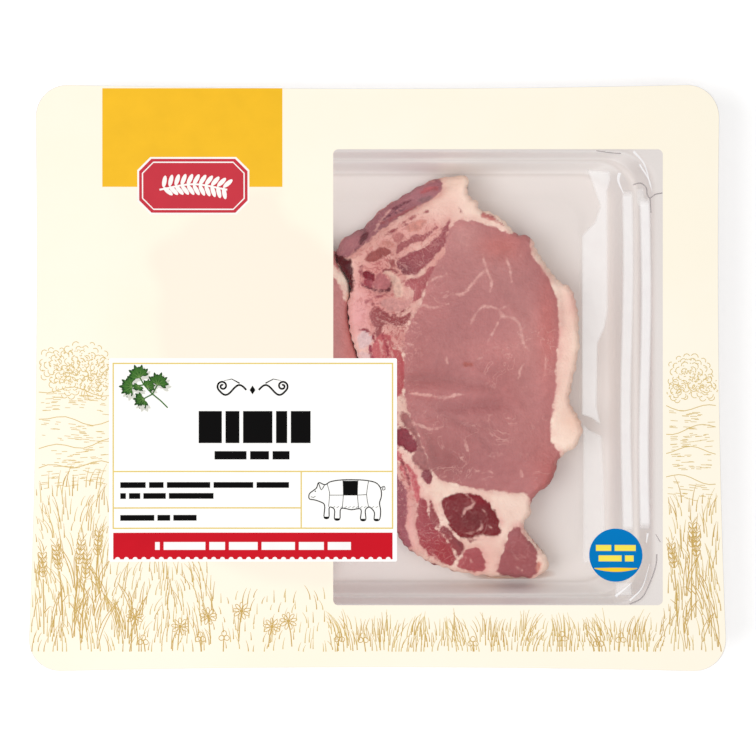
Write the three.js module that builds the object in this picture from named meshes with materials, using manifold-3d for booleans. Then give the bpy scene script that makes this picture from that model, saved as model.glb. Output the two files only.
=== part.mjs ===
// A sealed tray pack of two bone-in pork loin chops, lying on its back with the printed lid up.
// Millimetres, +Z up, +X to the right of the lid and +Y to its top edge. The origin is under the middle of the base.
import * as THREE from "three";
import { mergeVertices } from "three/addons/utils/BufferGeometryUtils.js";
import Module from "manifold-3d";

const wasm = await Module();
wasm.setup();

// Overall size of the pack
const packWidth = 266;
const packDepth = 226;
const flangeHeight = 32;
const packCorner = 13;
const sideBow = 1.8; // how far each side of the flange is drawn in at its middle
const lowerFlare = 0.011; // the flange is this share wider at its lower edge

// Tray
const wall = 0.8;
const flange = { x: 26, y: 25 }; // its width beside the mouth
const floorRise = 0.8; // the floor stands this high inside its foot
const footWidth = 8;
const cornerSteps = 6;
const sideSteps = 6;
const gap = 0.3; // between pieces that touch

// Lid: clear film, printed layer with its window, and two stuck labels
const sheet = 0.3;
const lidDip = 1.6;
const lidSlope = 34; // from the mouth of the tray to where the film lies level
const window = { left: -17, right: 109.5, top: 87.5, bottom: -88, corner: 2 };
const label = { left: -103, right: 7.5, top: 8, bottom: -70.5, corner: 0.6 };
const seal = { x: 91.5, y: -68, radius: 10.2 };
const lidCell = 16;

// Chops
const chopThickness = 16;
const chopCell = 6.2;
const chopEdge = 3; // radius of the worn upper edge
const outlineSteps = 2; // points drawn for each point of an outline
const chops = {
  right: { x: 36, y: -1, turn: 0, size: 1 },
  left: { x: -40.5, y: -4.5, turn: -3, size: 0.97 },
};
// The right chop's spine side lies on the left chop
const lap = { from: -24, to: -38, low: 66, high: 45, lift: 6.5, press: 0.4 };

// The slice seen from above, in millimetres from the middle of its eye of loin
const sliceOutline = [
  [-6, 79.5], [-1.5, 79.5], [-0.5, 74], [2, 69], [7, 65.5], [12.5, 63], [18.5, 56.5], [24, 55],
  [27, 48.5], [35, 38], [40, 34.5], [41.5, 25], [42.5, 13.5], [41, 5.5], [38.5, -8.5], [43, -18],
  [41.5, -24.5], [35, -29.5], [31, -39.5], [24, -46], [23, -51.5], [20.5, -57], [25, -64], [30.5, -71],
  [27.5, -76], [13.5, -76], [-1.5, -75], [-14.5, -71], [-24, -65], [-29, -56.5], [-32, -43], [-34.5, -23.5],
  [-38, -8], [-43, 8], [-47, 25], [-46.5, 38], [-52, 49], [-49.5, 54.5], [-40.5, 60], [-36, 65.5],
  [-27, 71.5], [-16.5, 77.5], [-11, 79],
];
const eyeOfLoin = [
  [-6, 60.5], [4.5, 60], [13.5, 57.5], [21.5, 53.5], [24.5, 46], [31, 37], [33.5, 30], [34, 23],
  [33.5, 6], [32.5, -8], [31.5, -21.5], [33.5, -30], [30, -38.5], [23, -44], [13, -43], [0.5, -42],
  [-7.5, -40], [-14.5, -35], [-19.5, -25.5], [-24, -15.5], [-26.5, -4.5], [-25.5, 13.5], [-24.5, 22],
  [-19.5, 28], [-16.5, 36.5], [-11.5, 48], [-9, 56],
];
const capRegion = [
  [22.5, 62], [24.5, 46], [28, 30], [28, -20], [31, -31.5], [37, -31], [50, -20], [52, 40], [34, 60],
];
const muscles = {
  fillet: [
    [-10.5, -49.5], [-7.5, -45.8], [-1, -45], [5.5, -47], [9.5, -51], [11.5, -58], [7, -61], [-1, -62], [-6.5, -57],
  ],
  flank: [
    [-21, -49], [-17.5, -46], [-16, -54], [-11.5, -61], [-6, -68], [-7, -71], [-13, -69], [-18.5, -65], [-21, -56],
  ],
  belly: [[-2, -66], [3.5, -66], [5, -70.5], [4, -73], [-4.5, -72.5], [-4, -69]],
  tail: [
    [15.5, -58.5], [19, -57], [20.5, -60], [24, -65], [26, -69], [26, -73.5], [12, -73.5], [12, -69], [13.5, -65],
  ],
  back: [
    [-28, 46], [-28, 50.5], [-23, 55.5], [-16, 58.5], [-12, 61.5], [-11.5, 57], [-13.5, 53], [-17, 47],
    [-20.5, 41.5], [-25, 41],
  ],
  rib: [
    [-25.5, 38], [-20, 38.5], [-20.5, 33], [-23, 28], [-27.5, 22], [-33, 22.5], [-37, 26], [-31, 28.5], [-27.5, 32],
  ],
};
const bones = {
  spine: [[-41.5, 38.5], [-38.5, 43], [-33, 43.5], [-30, 40], [-31.5, 35.5], [-38, 34.5]],
  rib_end: [[-36, -4], [-32, -4], [-27.5, -14], [-23, -24], [-22.5, -28], [-26, -28], [-30.5, -21], [-34, -12]],
};

// Finishes
const colours = {
  tray: 0xdcd5d1,
  film: 0xe8ecee,
  print: 0xf8f2dc,
  label: 0xfdfcf8,
  seal: 0x0a7ac0,
  lean: 0xb97a78,
  darkLean: 0x7f3640,
  fat: 0xecd0c2,
  bone: 0xa9605f,
};

function finish(color, roughness, extra = {}) {
  return new THREE.MeshStandardMaterial({ color, roughness, metalness: 0, ...extra });
}

// A closed three.js geometry as a solid that can be joined and cut
function toSolid(geometry) {
  const bare = geometry.clone();
  bare.deleteAttribute("normal");
  bare.deleteAttribute("uv");
  const merged = mergeVertices(bare, 1e-4);
  return new wasm.Manifold(new wasm.Mesh({
    numProp: 3,
    vertProperties: merged.attributes.position.array,
    triVerts: new Uint32Array(merged.index.array),
  }));
}

function toMesh(solid, name, material) {
  const { vertProperties, triVerts } = solid.getMesh();
  const geometry = new THREE.BufferGeometry();
  geometry.setAttribute("position", new THREE.BufferAttribute(vertProperties, 3));
  geometry.setIndex(new THREE.BufferAttribute(triVerts, 1));
  geometry.computeVertexNormals();
  const mesh = new THREE.Mesh(geometry, material);
  mesh.name = name;
  return mesh;
}

// Points round a rectangle with rounded corners, the same number for every size
function roundedRing(halfX, halfY, radius) {
  const ring = [];
  const corners = [[1, 1], [-1, 1], [-1, -1], [1, -1]];
  corners.forEach(([sx, sy], quarter) => {
    const centre = new THREE.Vector2(sx * (halfX - radius), sy * (halfY - radius));
    for (let i = 0; i <= cornerSteps; i++) {
      const angle = (quarter + i / cornerSteps) * Math.PI / 2;
      ring.push(new THREE.Vector2(Math.cos(angle), Math.sin(angle)).multiplyScalar(radius).add(centre));
    }
    const [nx, ny] = corners[(quarter + 1) % 4];
    const turn = (quarter + 1) * Math.PI / 2;
    const end = new THREE.Vector2(Math.cos(turn), Math.sin(turn)).multiplyScalar(radius)
      .add(new THREE.Vector2(nx * (halfX - radius), ny * (halfY - radius)));
    const start = ring[ring.length - 1];
    for (let i = 1; i < sideSteps; i++) {
      ring.push(start.clone().lerp(end, i / sideSteps));
    }
  });
  return ring;
}

// The heat seal draws the flange's sides in and lets its lower edge spread; share is 1 at the outer edge
function drawnIn(point, share) {
  const u = point.x / (packWidth / 2);
  const v = point.y / (packDepth / 2);
  return new THREE.Vector2(
    point.x * (1 - lowerFlare * v * share) - u * sideBow * share * (1 - v * v),
    point.y - v * sideBow * share * (1 - u * u),
  );
}

// Skins a stack of equal rings into one closed body; the first and the last ring close on their middles
function skin(rings) {
  const count = rings[0].points.length;
  const points = [0, 0, rings[0].z, 0, 0, rings[rings.length - 1].z];
  const faces = [];
  rings.forEach(({ points: ring, z }) => ring.forEach((p) => points.push(p.x, p.y, z)));
  const at = (ring, i) => 2 + ring * count + (i % count);
  for (let i = 0; i < count; i++) {
    faces.push(0, at(0, i), at(0, i + 1));
    for (let r = 0; r + 1 < rings.length; r++) {
      faces.push(at(r, i), at(r + 1, i), at(r, i + 1));
      faces.push(at(r, i + 1), at(r + 1, i), at(r + 1, i + 1));
    }
    faces.push(1, at(rings.length - 1, i + 1), at(rings.length - 1, i));
  }
  const geometry = new THREE.BufferGeometry();
  geometry.setAttribute("position", new THREE.Float32BufferAttribute(points, 3));
  geometry.setIndex(faces);
  return geometry;
}

// The stepped wall, from the floor up to the mouth, by how far it stands in from the mouth's edge.
// The end walls spread wider than the long walls.
const mouthX = packWidth / 2 - flange.x;
const mouthY = packDepth / 2 - flange.y;
const mouthCorner = 15;
const wallSteps = [
  { inX: 16.5, inY: 7.5, z: wall },
  { inX: 14.2, inY: 6.8, z: 1.8 },
  { inX: 13.2, inY: 6.4, z: 3.4 },
  { inX: 8.4, inY: 4.4, z: 16.4 },
  { inX: 7.4, inY: 3.8, z: 17.6 },
  { inX: 5.8, inY: 3, z: 18.2 },
  { inX: 5, inY: 2.5, z: 19.4 },
  { inX: 1.8, inY: 1.2, z: 30.2 },
  { inX: 0.8, inY: 0.6, z: 31.5 },
  { inX: -0.8, inY: -0.6, z: flangeHeight },
];

function trayRing(inX, inY, z, share = 0) {
  const outline = roundedRing(mouthX - inX, mouthY - inY, mouthCorner - inY * 0.3);
  return { points: outline.map((p) => drawnIn(p, share)), z };
}

function flangeRing(inset, z) {
  const outline = roundedRing(packWidth / 2 - inset, packDepth / 2 - inset, packCorner - inset * 0.3);
  return { points: outline.map((p) => drawnIn(p, 1)), z };
}

function makeTray() {
  const floor = wallSteps[0];
  const inner = [
    trayRing(floor.inX + footWidth, floor.inY + footWidth, wall + floorRise),
    trayRing(floor.inX + footWidth - 2, floor.inY + footWidth - 2, wall),
    ...wallSteps.map(({ inX, inY, z }) => trayRing(inX, inY, z)),
    flangeRing(1, flangeHeight),
    flangeRing(0, flangeHeight - 0.3),
  ];
  const outerSteps = wallSteps.slice(0, -1).reverse();
  const outer = [
    flangeRing(0, flangeHeight - wall),
    trayRing(-0.8 - wall, -0.6 - wall, flangeHeight - wall),
    ...outerSteps.map(({ inX, inY, z }) => trayRing(inX - wall, inY - wall, z - wall)),
    trayRing(floor.inX + footWidth - 3, floor.inY + footWidth - 3, 0),
    trayRing(floor.inX + footWidth, floor.inY + footWidth, floorRise),
  ];
  return toMesh(toSolid(skin([...inner, ...outer])), "tray", finish(colours.tray, 0.3));
}

const lidEdge = flangeRing(0.2, 0).points;

// Height of the lid film: level on the flange, dipping a little over the mouth
function lidHeight(x, y) {
  const inX = mouthX - Math.abs(x);
  const inY = mouthY - Math.abs(y);
  const reach = THREE.MathUtils.smoothstep(Math.min(inX, inY), 0, lidSlope);
  return flangeHeight - lidDip * reach;
}

// A slab over the outline's rectangle whose lower and upper sides follow two heights, in equal triangles
function slabBetween(outline, cell, lower, upper) {
  const { min, max } = new THREE.Box2().setFromPoints(outline).expandByScalar(1);
  const columns = Math.ceil((max.x - min.x) / cell);
  const rows = Math.ceil((max.y - min.y) / cell);
  const points = [];
  for (let i = 0; i < (columns + 1) * (rows + 1); i++) {
    const x = THREE.MathUtils.lerp(min.x, max.x, (i % (columns + 1)) / columns);
    const y = THREE.MathUtils.lerp(min.y, max.y, Math.floor(i / (columns + 1)) / rows);
    points.push(x, y, lower(x, y), x, y, upper(x, y));
  }
  const at = (column, row, side) => 2 * (row * (columns + 1) + column) + side;
  const faces = [];
  for (let column = 0; column < columns; column++) {
    for (let row = 0; row < rows; row++) {
      const [a, b, c, d] = [[0, 0], [1, 0], [1, 1], [0, 1]].map(([u, v]) => at(column + u, row + v, 0));
      faces.push(a, c, b, a, d, c, a + 1, b + 1, c + 1, a + 1, c + 1, d + 1);
    }
    faces.push(...wallFaces(at(column, 0, 0), at(column + 1, 0, 0)));
    faces.push(...wallFaces(at(column + 1, rows, 0), at(column, rows, 0)));
  }
  for (let row = 0; row < rows; row++) {
    faces.push(...wallFaces(at(columns, row, 0), at(columns, row + 1, 0)));
    faces.push(...wallFaces(at(0, row + 1, 0), at(0, row, 0)));
  }
  const geometry = new THREE.BufferGeometry();
  geometry.setAttribute("position", new THREE.Float32BufferAttribute(points, 3));
  geometry.setIndex(faces);
  return geometry;
}

// The two triangles of a side between neighbouring lower points, whose upper points come next
function wallFaces(from, to) {
  return [from, to, to + 1, from, to + 1, from + 1];
}

// A thin layer that follows the lid, lift above the flange, cut to an outline
function layer(name, lift, outline, holes, material) {
  const lower = (x, y) => lidHeight(x, y) + lift;
  const upper = (x, y) => lower(x, y) + sheet;
  let solid = toSolid(slabBetween(lidEdge, lidCell, lower, upper)).intersect(prism(outline));
  holes.forEach((hole) => {
    solid = solid.subtract(prism(hole));
  });
  return toMesh(solid, name, material);
}

// An upright prism over a closed outline, from under the pack to above it
function prismShape(points) {
  const reach = 10;
  const depth = flangeHeight + 2 * reach;
  return new THREE.ExtrudeGeometry(new THREE.Shape(points), { depth, bevelEnabled: false }).translate(0, 0, -reach);
}

function prism(points) {
  return toSolid(prismShape(points));
}

function rectangle({ left, right, top, bottom, corner }) {
  const halfX = (right - left) / 2;
  const halfY = (top - bottom) / 2;
  const centre = new THREE.Vector2((left + right) / 2, (top + bottom) / 2);
  return roundedRing(halfX, halfY, corner).map((p) => p.add(centre));
}

function disc({ x, y, radius }) {
  return new THREE.EllipseCurve(x, y, radius, radius).getPoints(40).slice(0, -1);
}

function makeLid() {
  const pitch = gap + sheet;
  const clear = finish(colours.film, 0.1, { transparent: true, opacity: 0.3 });
  return [
    layer("lid_film", gap, lidEdge, [], clear),
    layer("printed_layer", gap + pitch, lidEdge, [rectangle(window)], finish(colours.print, 0.4)),
    layer("front_label", gap + 2 * pitch, rectangle(label), [], finish(colours.label, 0.5)),
    layer("round_seal", gap + 2 * pitch, disc(seal), [], finish(colours.seal, 0.4)),
  ];
}

// A smooth closed outline through the given points
function smooth(points) {
  const curve = new THREE.CatmullRomCurve3(points.map(([x, y]) => new THREE.Vector3(x, y, 0)), true, "centripetal");
  return curve.getPoints(points.length * outlineSteps).slice(0, -1).map((p) => new THREE.Vector2(p.x, p.y));
}

// Moves every point of an outline straight out by a distance, or in if it is negative
function offset(outline, distance) {
  const side = THREE.ShapeUtils.isClockWise(outline) ? -1 : 1;
  return outline.map((p, i) => {
    const before = outline[(i + outline.length - 1) % outline.length];
    const after = outline[(i + 1) % outline.length];
    const along = after.clone().sub(before).normalize();
    return new THREE.Vector2(along.y, -along.x).multiplyScalar(side * distance).add(p);
  });
}

// Distance from a point to a closed outline
function distanceTo(outline, x, y) {
  let nearest = Infinity;
  const line = new THREE.Line3();
  const point = new THREE.Vector3(x, y, 0);
  const foot = new THREE.Vector3();
  outline.forEach((a, i) => {
    const b = outline[(i + 1) % outline.length];
    line.set(new THREE.Vector3(a.x, a.y, 0), new THREE.Vector3(b.x, b.y, 0));
    line.closestPointToPoint(point, true, foot);
    nearest = Math.min(nearest, foot.distanceTo(point));
  });
  return nearest;
}

function contains(outline, x, y) {
  let inside = false;
  outline.forEach((a, i) => {
    const b = outline[(i + 1) % outline.length];
    if (a.y > y !== b.y > y && x < ((b.x - a.x) * (y - a.y)) / (b.y - a.y) + a.x) {
      inside = !inside;
    }
  });
  return inside;
}

const slice = smooth(sliceOutline);
const eye = smooth(eyeOfLoin);
const shoulder = { x: -32, y: 66, toX: -0.56, toY: 0.83, width: 9, drop: 8 }; // the sloping cut at the back of the spine
const eyeCrown = 1.4;
const waves = [[0.11, 0.05, 0.5], [-0.06, 0.13, 0.4], [0.21, -0.17, 0.25]]; // x and y frequency, height

// How far the underside of the right chop is lifted off the floor by the left one
function seatHeight(x, y) {
  const across = THREE.MathUtils.smoothstep(-x, -lap.from, -lap.to);
  return lap.lift * across * (1 - THREE.MathUtils.smoothstep(y, lap.high, lap.low));
}

// Height of the cut face: rounded off at the rim, crowned over the eye of loin, sloping at the spine
function faceHeight(x, y) {
  const rim = contains(slice, x, y) ? Math.min(distanceTo(slice, x, y) / chopEdge, 1) : 0;
  const edge = chopEdge * (1 - Math.sqrt(1 - (1 - rim) ** 2));
  const crown = contains(eye, x, y) ? eyeCrown * THREE.MathUtils.smoothstep(distanceTo(eye, x, y), 0, 14) : 0;
  const out = (x - shoulder.x) * shoulder.toX + (y - shoulder.y) * shoulder.toY;
  const slope = shoulder.drop * THREE.MathUtils.smoothstep(out, -shoulder.width, 1);
  const swell = waves.reduce((sum, [fx, fy, high]) => sum + high * Math.sin(fx * x + fy * y + fx * 30), 0);
  return chopThickness - edge - slope + crown + swell;
}

function placement({ x, y, turn, size }) {
  return new THREE.Matrix4().compose(
    new THREE.Vector3(x, y, wall + floorRise + gap),
    new THREE.Quaternion().setFromAxisAngle(new THREE.Vector3(0, 0, 1), THREE.MathUtils.degToRad(turn)),
    new THREE.Vector3(size, size, size),
  );
}

// The space that the right chop takes up in the left one's own frame
function lappedSpace() {
  const shift = placement(chops.left).invert().multiply(placement(chops.right));
  const above = slabBetween(slice, chopCell, (x, y) => seatHeight(x, y) - gap, () => 2 * chopThickness);
  const outline = prismShape(offset(slice, gap));
  return toSolid(above.applyMatrix4(shift)).intersect(toSolid(outline.applyMatrix4(shift)));
}

function sliceSolid(name) {
  const whole = prism(slice);
  if (name === "left") {
    return toSolid(slabBetween(slice, chopCell, () => 0, faceHeight)).intersect(whole).subtract(lappedSpace());
  }
  const raised = (x, y) => faceHeight(x, y) + seatHeight(x, y) * (1 - lap.press);
  return toSolid(slabBetween(slice, chopCell, seatHeight, raised)).intersect(whole);
}

// One slice: the fat holds every muscle and bone, and each runs right through
function makeChop([name, place]) {
  const group = new THREE.Group();
  const whole = sliceSolid(name);
  let fat = whole;
  const add = (piece, solid, color, roughness) => {
    const largest = solid.decompose().sort((a, b) => b.volume() - a.volume())[0];
    group.add(toMesh(largest, `chop_${name}_${piece}`, finish(color, roughness)));
  };
  const take = (piece, outline, color, roughness) => {
    add(piece, whole.intersect(prism(outline)), color, roughness);
    fat = fat.subtract(prism(offset(outline, gap)));
  };
  take("loin", eye, colours.lean, 0.4);
  const cap = smooth(capRegion);
  add("fat_cap", fat.intersect(prism(cap)), colours.fat, 0.45);
  fat = fat.subtract(prism(offset(cap, gap)));
  for (const [piece, points] of Object.entries(muscles)) {
    take(`${piece}_muscle`, smooth(points), piece === "fillet" ? colours.darkLean : colours.lean, 0.4);
  }
  for (const [piece, points] of Object.entries(bones)) {
    take(`${piece}_bone`, smooth(points), colours.bone, 0.6);
  }
  add("seam_fat", fat, colours.fat, 0.45);
  group.applyMatrix4(placement(place));
  return group;
}

const pack = new THREE.Group();
pack.add(makeTray(), ...makeLid(), ...Object.entries(chops).map(makeChop));

export default pack;
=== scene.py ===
import math
import random
import bmesh
import bpy
import numpy as np
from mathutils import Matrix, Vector
from mathutils.geometry import delaunay_2d_cdt


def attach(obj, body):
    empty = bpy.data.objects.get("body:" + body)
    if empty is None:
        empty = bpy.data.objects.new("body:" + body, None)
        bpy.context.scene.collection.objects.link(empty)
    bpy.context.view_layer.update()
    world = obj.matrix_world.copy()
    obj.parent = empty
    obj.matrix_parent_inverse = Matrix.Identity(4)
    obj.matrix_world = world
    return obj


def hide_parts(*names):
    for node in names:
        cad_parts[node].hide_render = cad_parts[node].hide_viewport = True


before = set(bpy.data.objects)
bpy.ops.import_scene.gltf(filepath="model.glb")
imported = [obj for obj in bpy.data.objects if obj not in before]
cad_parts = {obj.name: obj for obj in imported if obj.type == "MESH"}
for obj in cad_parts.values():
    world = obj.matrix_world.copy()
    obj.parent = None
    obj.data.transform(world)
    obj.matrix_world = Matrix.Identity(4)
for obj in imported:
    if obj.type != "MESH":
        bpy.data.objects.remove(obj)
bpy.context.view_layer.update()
mm = 0.001
random.seed(11)

# Sizes of the pack in millimetres, as in its solids
pack = {
    "width": 266.0,
    "depth": 226.0,
    "height": 32.0,
    "corner": 13.0,
    "sideBow": 1.8,
    "lowerFlare": 0.011,
    "mouthX": 107.0,
    "mouthY": 88.0,
    "mouthCorner": 15.0,
    "wall": 0.8,
    "floorRise": 0.8,
    "footWidth": 8.0,
    "lidDip": 1.6,
    "lidSlope": 34.0,
    "lidBlend": 8.0,
}


# Small helpers for numbers and colours
def rgb(r, g, b):
    # 0 to 255 as seen, turned into the linear values that shaders take
    linear = [((c / 255 + 0.055) / 1.055) ** 2.4 if c > 10 else c / 255 / 12.92 for c in (r, g, b)]
    return (*linear, 1.0)


def smoothStep(value, low, high):
    t = np.clip((np.asarray(value, float) - low) / (high - low), 0, 1)
    return t * t * (3 - 2 * t)


def lidHeight(x, y):
    # The lid dips inward from the mouth; the two slopes blend where they meet
    inX, inY = pack["mouthX"] - np.abs(x), pack["mouthY"] - np.abs(y)
    blend = np.clip(0.5 + (inY - inX) / (2 * pack["lidBlend"]), 0, 1)
    inward = inY + (inX - inY) * blend - pack["lidBlend"] * blend * (1 - blend)
    return pack["height"] - pack["lidDip"] * smoothStep(inward, 0, pack["lidSlope"])


def roundedRing(halfX, halfY, radius, cornerSteps=12, sideSteps=20):
    ring = []
    for quarter, (sx, sy) in enumerate([(1, 1), (-1, 1), (-1, -1), (1, -1)]):
        for i in range(cornerSteps + 1):
            angle = (quarter + i / cornerSteps) * math.pi / 2
            x = sx * (halfX - radius) + radius * math.cos(angle)
            y = sy * (halfY - radius) + radius * math.sin(angle)
            ring.append((x, y))
        nx, ny = [(-1, 1), (-1, -1), (1, -1), (1, 1)][quarter]
        turn = (quarter + 1) * math.pi / 2
        endX = nx * (halfX - radius) + radius * math.cos(turn)
        endY = ny * (halfY - radius) + radius * math.sin(turn)
        startX, startY = ring[-1]
        for i in range(1, sideSteps):
            share = i / sideSteps
            ring.append((startX + (endX - startX) * share, startY + (endY - startY) * share))
    return np.array(ring)


def drawnIn(ring):
    # The heat seal draws the sides in and lets the lower edge spread
    u = ring[:, 0] / (pack["width"] / 2)
    v = ring[:, 1] / (pack["depth"] / 2)
    x = ring[:, 0] * (1 - pack["lowerFlare"] * v) - u * pack["sideBow"] * (1 - v * v)
    y = ring[:, 1] - v * pack["sideBow"] * (1 - u * u)
    return np.column_stack([x, y])


def closedCurve(points, steps=8):
    # A smooth closed outline through given points
    p = np.array(points, float)
    out = []
    for i in range(len(p)):
        a, b, c, d = p[i - 1], p[i], p[(i + 1) % len(p)], p[(i + 2) % len(p)]
        gaps = [max(np.linalg.norm(e - s) ** 0.5, 1e-4) for s, e in ((a, b), (b, c), (c, d))]
        startSlope = (b - a) / gaps[0] - (c - a) / (gaps[0] + gaps[1]) + (c - b) / gaps[1]
        endSlope = (c - b) / gaps[1] - (d - b) / (gaps[1] + gaps[2]) + (d - c) / gaps[2]
        startSlope, endSlope = startSlope * gaps[1], endSlope * gaps[1]
        for t in np.arange(steps) / steps:
            cubic = 2 * b - 2 * c + startSlope + endSlope
            square = -3 * b + 3 * c - 2 * startSlope - endSlope
            out.append(b + startSlope * t + square * t * t + cubic * t ** 3)
    return np.array(out)


def openCurve(points, step=2.0):
    # A smooth open line through given points, cut into short pieces
    p = np.array(points, float)
    if len(p) == 2:
        count = max(int(np.linalg.norm(p[1] - p[0]) / step), 1)
        return np.array([p[0] + (p[1] - p[0]) * i / count for i in range(count + 1)])
    padded = np.vstack([2 * p[0] - p[1], p, 2 * p[-1] - p[-2]])
    out = []
    for a, b, c, d in zip(padded, padded[1:], padded[2:], padded[3:]):
        count = max(int(np.linalg.norm(c - b) / step), 1)
        for i in range(count):
            t = i / count
            bend = (2 * a - 5 * b + 4 * c - d) * t * t + (-a + 3 * b - 3 * c + d) * t ** 3
            out.append(0.5 * (2 * b + (c - a) * t + bend))
    out.append(p[-1])
    return np.array(out)


def lineDistance(x, y, points, closed=False):
    best = np.full(x.shape, 1e9)
    ends = np.roll(points, -1, 0) if closed else points[1:]
    for a, b in zip(points, ends):
        along = b - a
        t = ((x - a[0]) * along[0] + (y - a[1]) * along[1]) / max(along @ along, 1e-9)
        t = np.clip(t, 0, 1)
        best = np.minimum(best, np.hypot(x - a[0] - t * along[0], y - a[1] - t * along[1]))
    return best


def insideDistance(x, y, outline):
    # Distance to a closed outline, positive inside
    inside = np.zeros(x.shape, bool)
    for a, b in zip(outline, np.roll(outline, -1, 0)):
        if a[1] == b[1]:
            continue
        crosses = (a[1] > y) != (b[1] > y)
        inside ^= crosses & (x < (b[0] - a[0]) * (y - a[1]) / (b[1] - a[1]) + a[0])
    return np.where(inside, 1, -1) * lineDistance(x, y, outline, True)


# Small helpers for pieces
def addPiece(name, verts, faces, material, smooth=True):
    mesh = bpy.data.meshes.new(name)
    mesh.from_pydata([Vector(v) * mm for v in verts], [], faces)
    mesh.materials.append(material)
    mesh.polygons.foreach_set("use_smooth", [smooth] * len(mesh.polygons))
    mesh.update()
    piece = bpy.data.objects.new(name, mesh)
    bpy.context.scene.collection.objects.link(piece)
    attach(piece, "root")
    return piece


def addValues(piece, name, values):
    layer = piece.data.attributes.new(name, "FLOAT", "POINT")
    layer.data.foreach_set("value", np.asarray(values, np.float32))


def flatMesh(outline, holes, cell):
    # Triangles that fill an outline round its holes, with points inside it at the given spacing
    outline = np.array(outline, float)
    low, high = outline.min(0), outline.max(0)
    xs = np.arange(low[0] + cell / 2, high[0], cell)
    ys = np.arange(low[1] + cell / 2, high[1], cell)
    gx, gy = [g.ravel() for g in np.meshgrid(xs, ys)]
    keep = insideDistance(gx, gy, outline) > cell * 0.3
    for hole in holes:
        keep &= insideDistance(gx, gy, hole) < -cell * 0.3
    points, edges = [], []
    for loop in [outline, *holes]:
        first = len(points)
        points += [Vector((float(a), float(b))) for a, b in loop]
        edges += [(first + i, first + (i + 1) % len(loop)) for i in range(len(loop))]
    points += [Vector((float(a), float(b))) for a, b in zip(gx[keep], gy[keep])]
    flat, _, flatFaces = delaunay_2d_cdt(points, edges, [], 1, 1e-5)[:3]
    faces = [tuple(f) for f in flatFaces]
    centres = np.array([[sum(flat[i].x for i in f) / 3, sum(flat[i].y for i in f) / 3] for f in faces])
    for hole in holes:
        outside = insideDistance(centres[:, 0], centres[:, 1], hole) < 0
        faces = [f for f, kept in zip(faces, outside) if kept]
        centres = centres[outside]
    turned = []
    for f in faces:
        a, b, c = (flat[i] for i in f[:3])
        left = (b.x - a.x) * (c.y - a.y) - (b.y - a.y) * (c.x - a.x) > 0
        turned.append(f if left else f[::-1])
    return np.array([(p.x, p.y) for p in flat]), turned


def lidSheet(name, outline, holes, lift, thickness, cell, material):
    # A thin closed sheet that follows the lid, cut to an outline with holes
    flat, faces = flatMesh(outline, holes, cell)
    count = len(flat)
    heights = lidHeight(flat[:, 0], flat[:, 1]) + lift
    verts = [(x, y, z + thickness) for (x, y), z in zip(flat, heights)]
    verts += [(x, y, z) for (x, y), z in zip(flat, heights)]
    used = dict.fromkeys((f[i], f[(i + 1) % len(f)]) for f in faces for i in range(len(f)))
    sides = [(b, a, a + count, b + count) for a, b in used if (b, a) not in used]
    faces += [tuple(v + count for v in reversed(f)) for f in faces] + sides
    return addPiece(name, verts, faces, material, smooth=False)


class Strokes:
    # Flat shapes and ribbons that lie on the lid, gathered into one piece for each ink
    def __init__(self, lift):
        self.lift = lift
        self.verts = []
        self.faces = []
        self.count = 0

    def addVerts(self, points):
        # Each stroke lies a hair above the last, so that crossings stay clean
        p = np.array(points, float)
        self.count += 1
        z = lidHeight(p[:, 0], p[:, 1]) + self.lift + 0.001 * (self.count % 37)
        first = len(self.verts)
        self.verts += [(a, b, c) for (a, b), c in zip(p, z)]
        return first

    def line(self, points, width, taper=False, step=2.0):
        p = openCurve(points, step)
        along = np.gradient(p, axis=0)
        along /= np.maximum(np.linalg.norm(along, axis=1, keepdims=True), 1e-6)
        side = np.column_stack([-along[:, 1], along[:, 0]]) * width / 2
        if taper:
            side *= np.linspace(1, 0.25, len(p))[:, None]
        first = self.addVerts(np.vstack([p + side, p - side]))
        n = len(p)
        for i in range(n - 1):
            self.faces.append((first + i + n, first + i + 1 + n, first + i + 1, first + i))

    def loop(self, points, width):
        p = np.array(points, float)
        along = np.roll(p, -1, 0) - np.roll(p, 1, 0)
        along /= np.maximum(np.linalg.norm(along, axis=1, keepdims=True), 1e-6)
        side = np.column_stack([-along[:, 1], along[:, 0]]) * width / 2
        first = self.addVerts(np.vstack([p + side, p - side]))
        n = len(p)
        for i in range(n):
            j = (i + 1) % n
            self.faces.append((first + i + n, first + j + n, first + j, first + i))

    def fill(self, points, cell=2.5):
        flat, faces = flatMesh(points, [], cell)
        first = self.addVerts(flat)
        self.faces += [tuple(first + i for i in face) for face in faces]

    def bar(self, left, bottom, right, top, columns=None):
        # A rectangle cut into columns, so that it follows the lid
        columns = columns or max(int((right - left) / 3), 1)
        rows = max(int((top - bottom) / 3), 1)
        grid = [(left + (right - left) * i / columns, bottom + (top - bottom) * j / rows)
                for j in range(rows + 1) for i in range(columns + 1)]
        first = self.addVerts(grid)
        for j in range(rows):
            for i in range(columns):
                a = first + j * (columns + 1) + i
                self.faces.append((a, a + 1, a + columns + 2, a + columns + 1))

    def finish(self, name, material, slot):
        piece = addPiece(name, self.verts, self.faces, material, smooth=False)
        piece.visible_shadow = False  # ink casts no shadow
        return piece


# Shader helpers
def feed(tree, value, socket):
    # Links another socket, or sets a plain value
    if isinstance(value, bpy.types.NodeSocket):
        tree.links.new(value, socket)
    else:
        socket.default_value = value


def newNode(tree, kind, x=0, y=0, **settings):
    # Settings named in_ and a number go to the socket of that number
    node = tree.nodes.new(kind)
    node.location = (x, y)
    for key, value in settings.items():
        if key.startswith("in_"):
            feed(tree, value, node.inputs[int(key[3:])])
        else:
            setattr(node, key, value)
    return node


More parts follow.
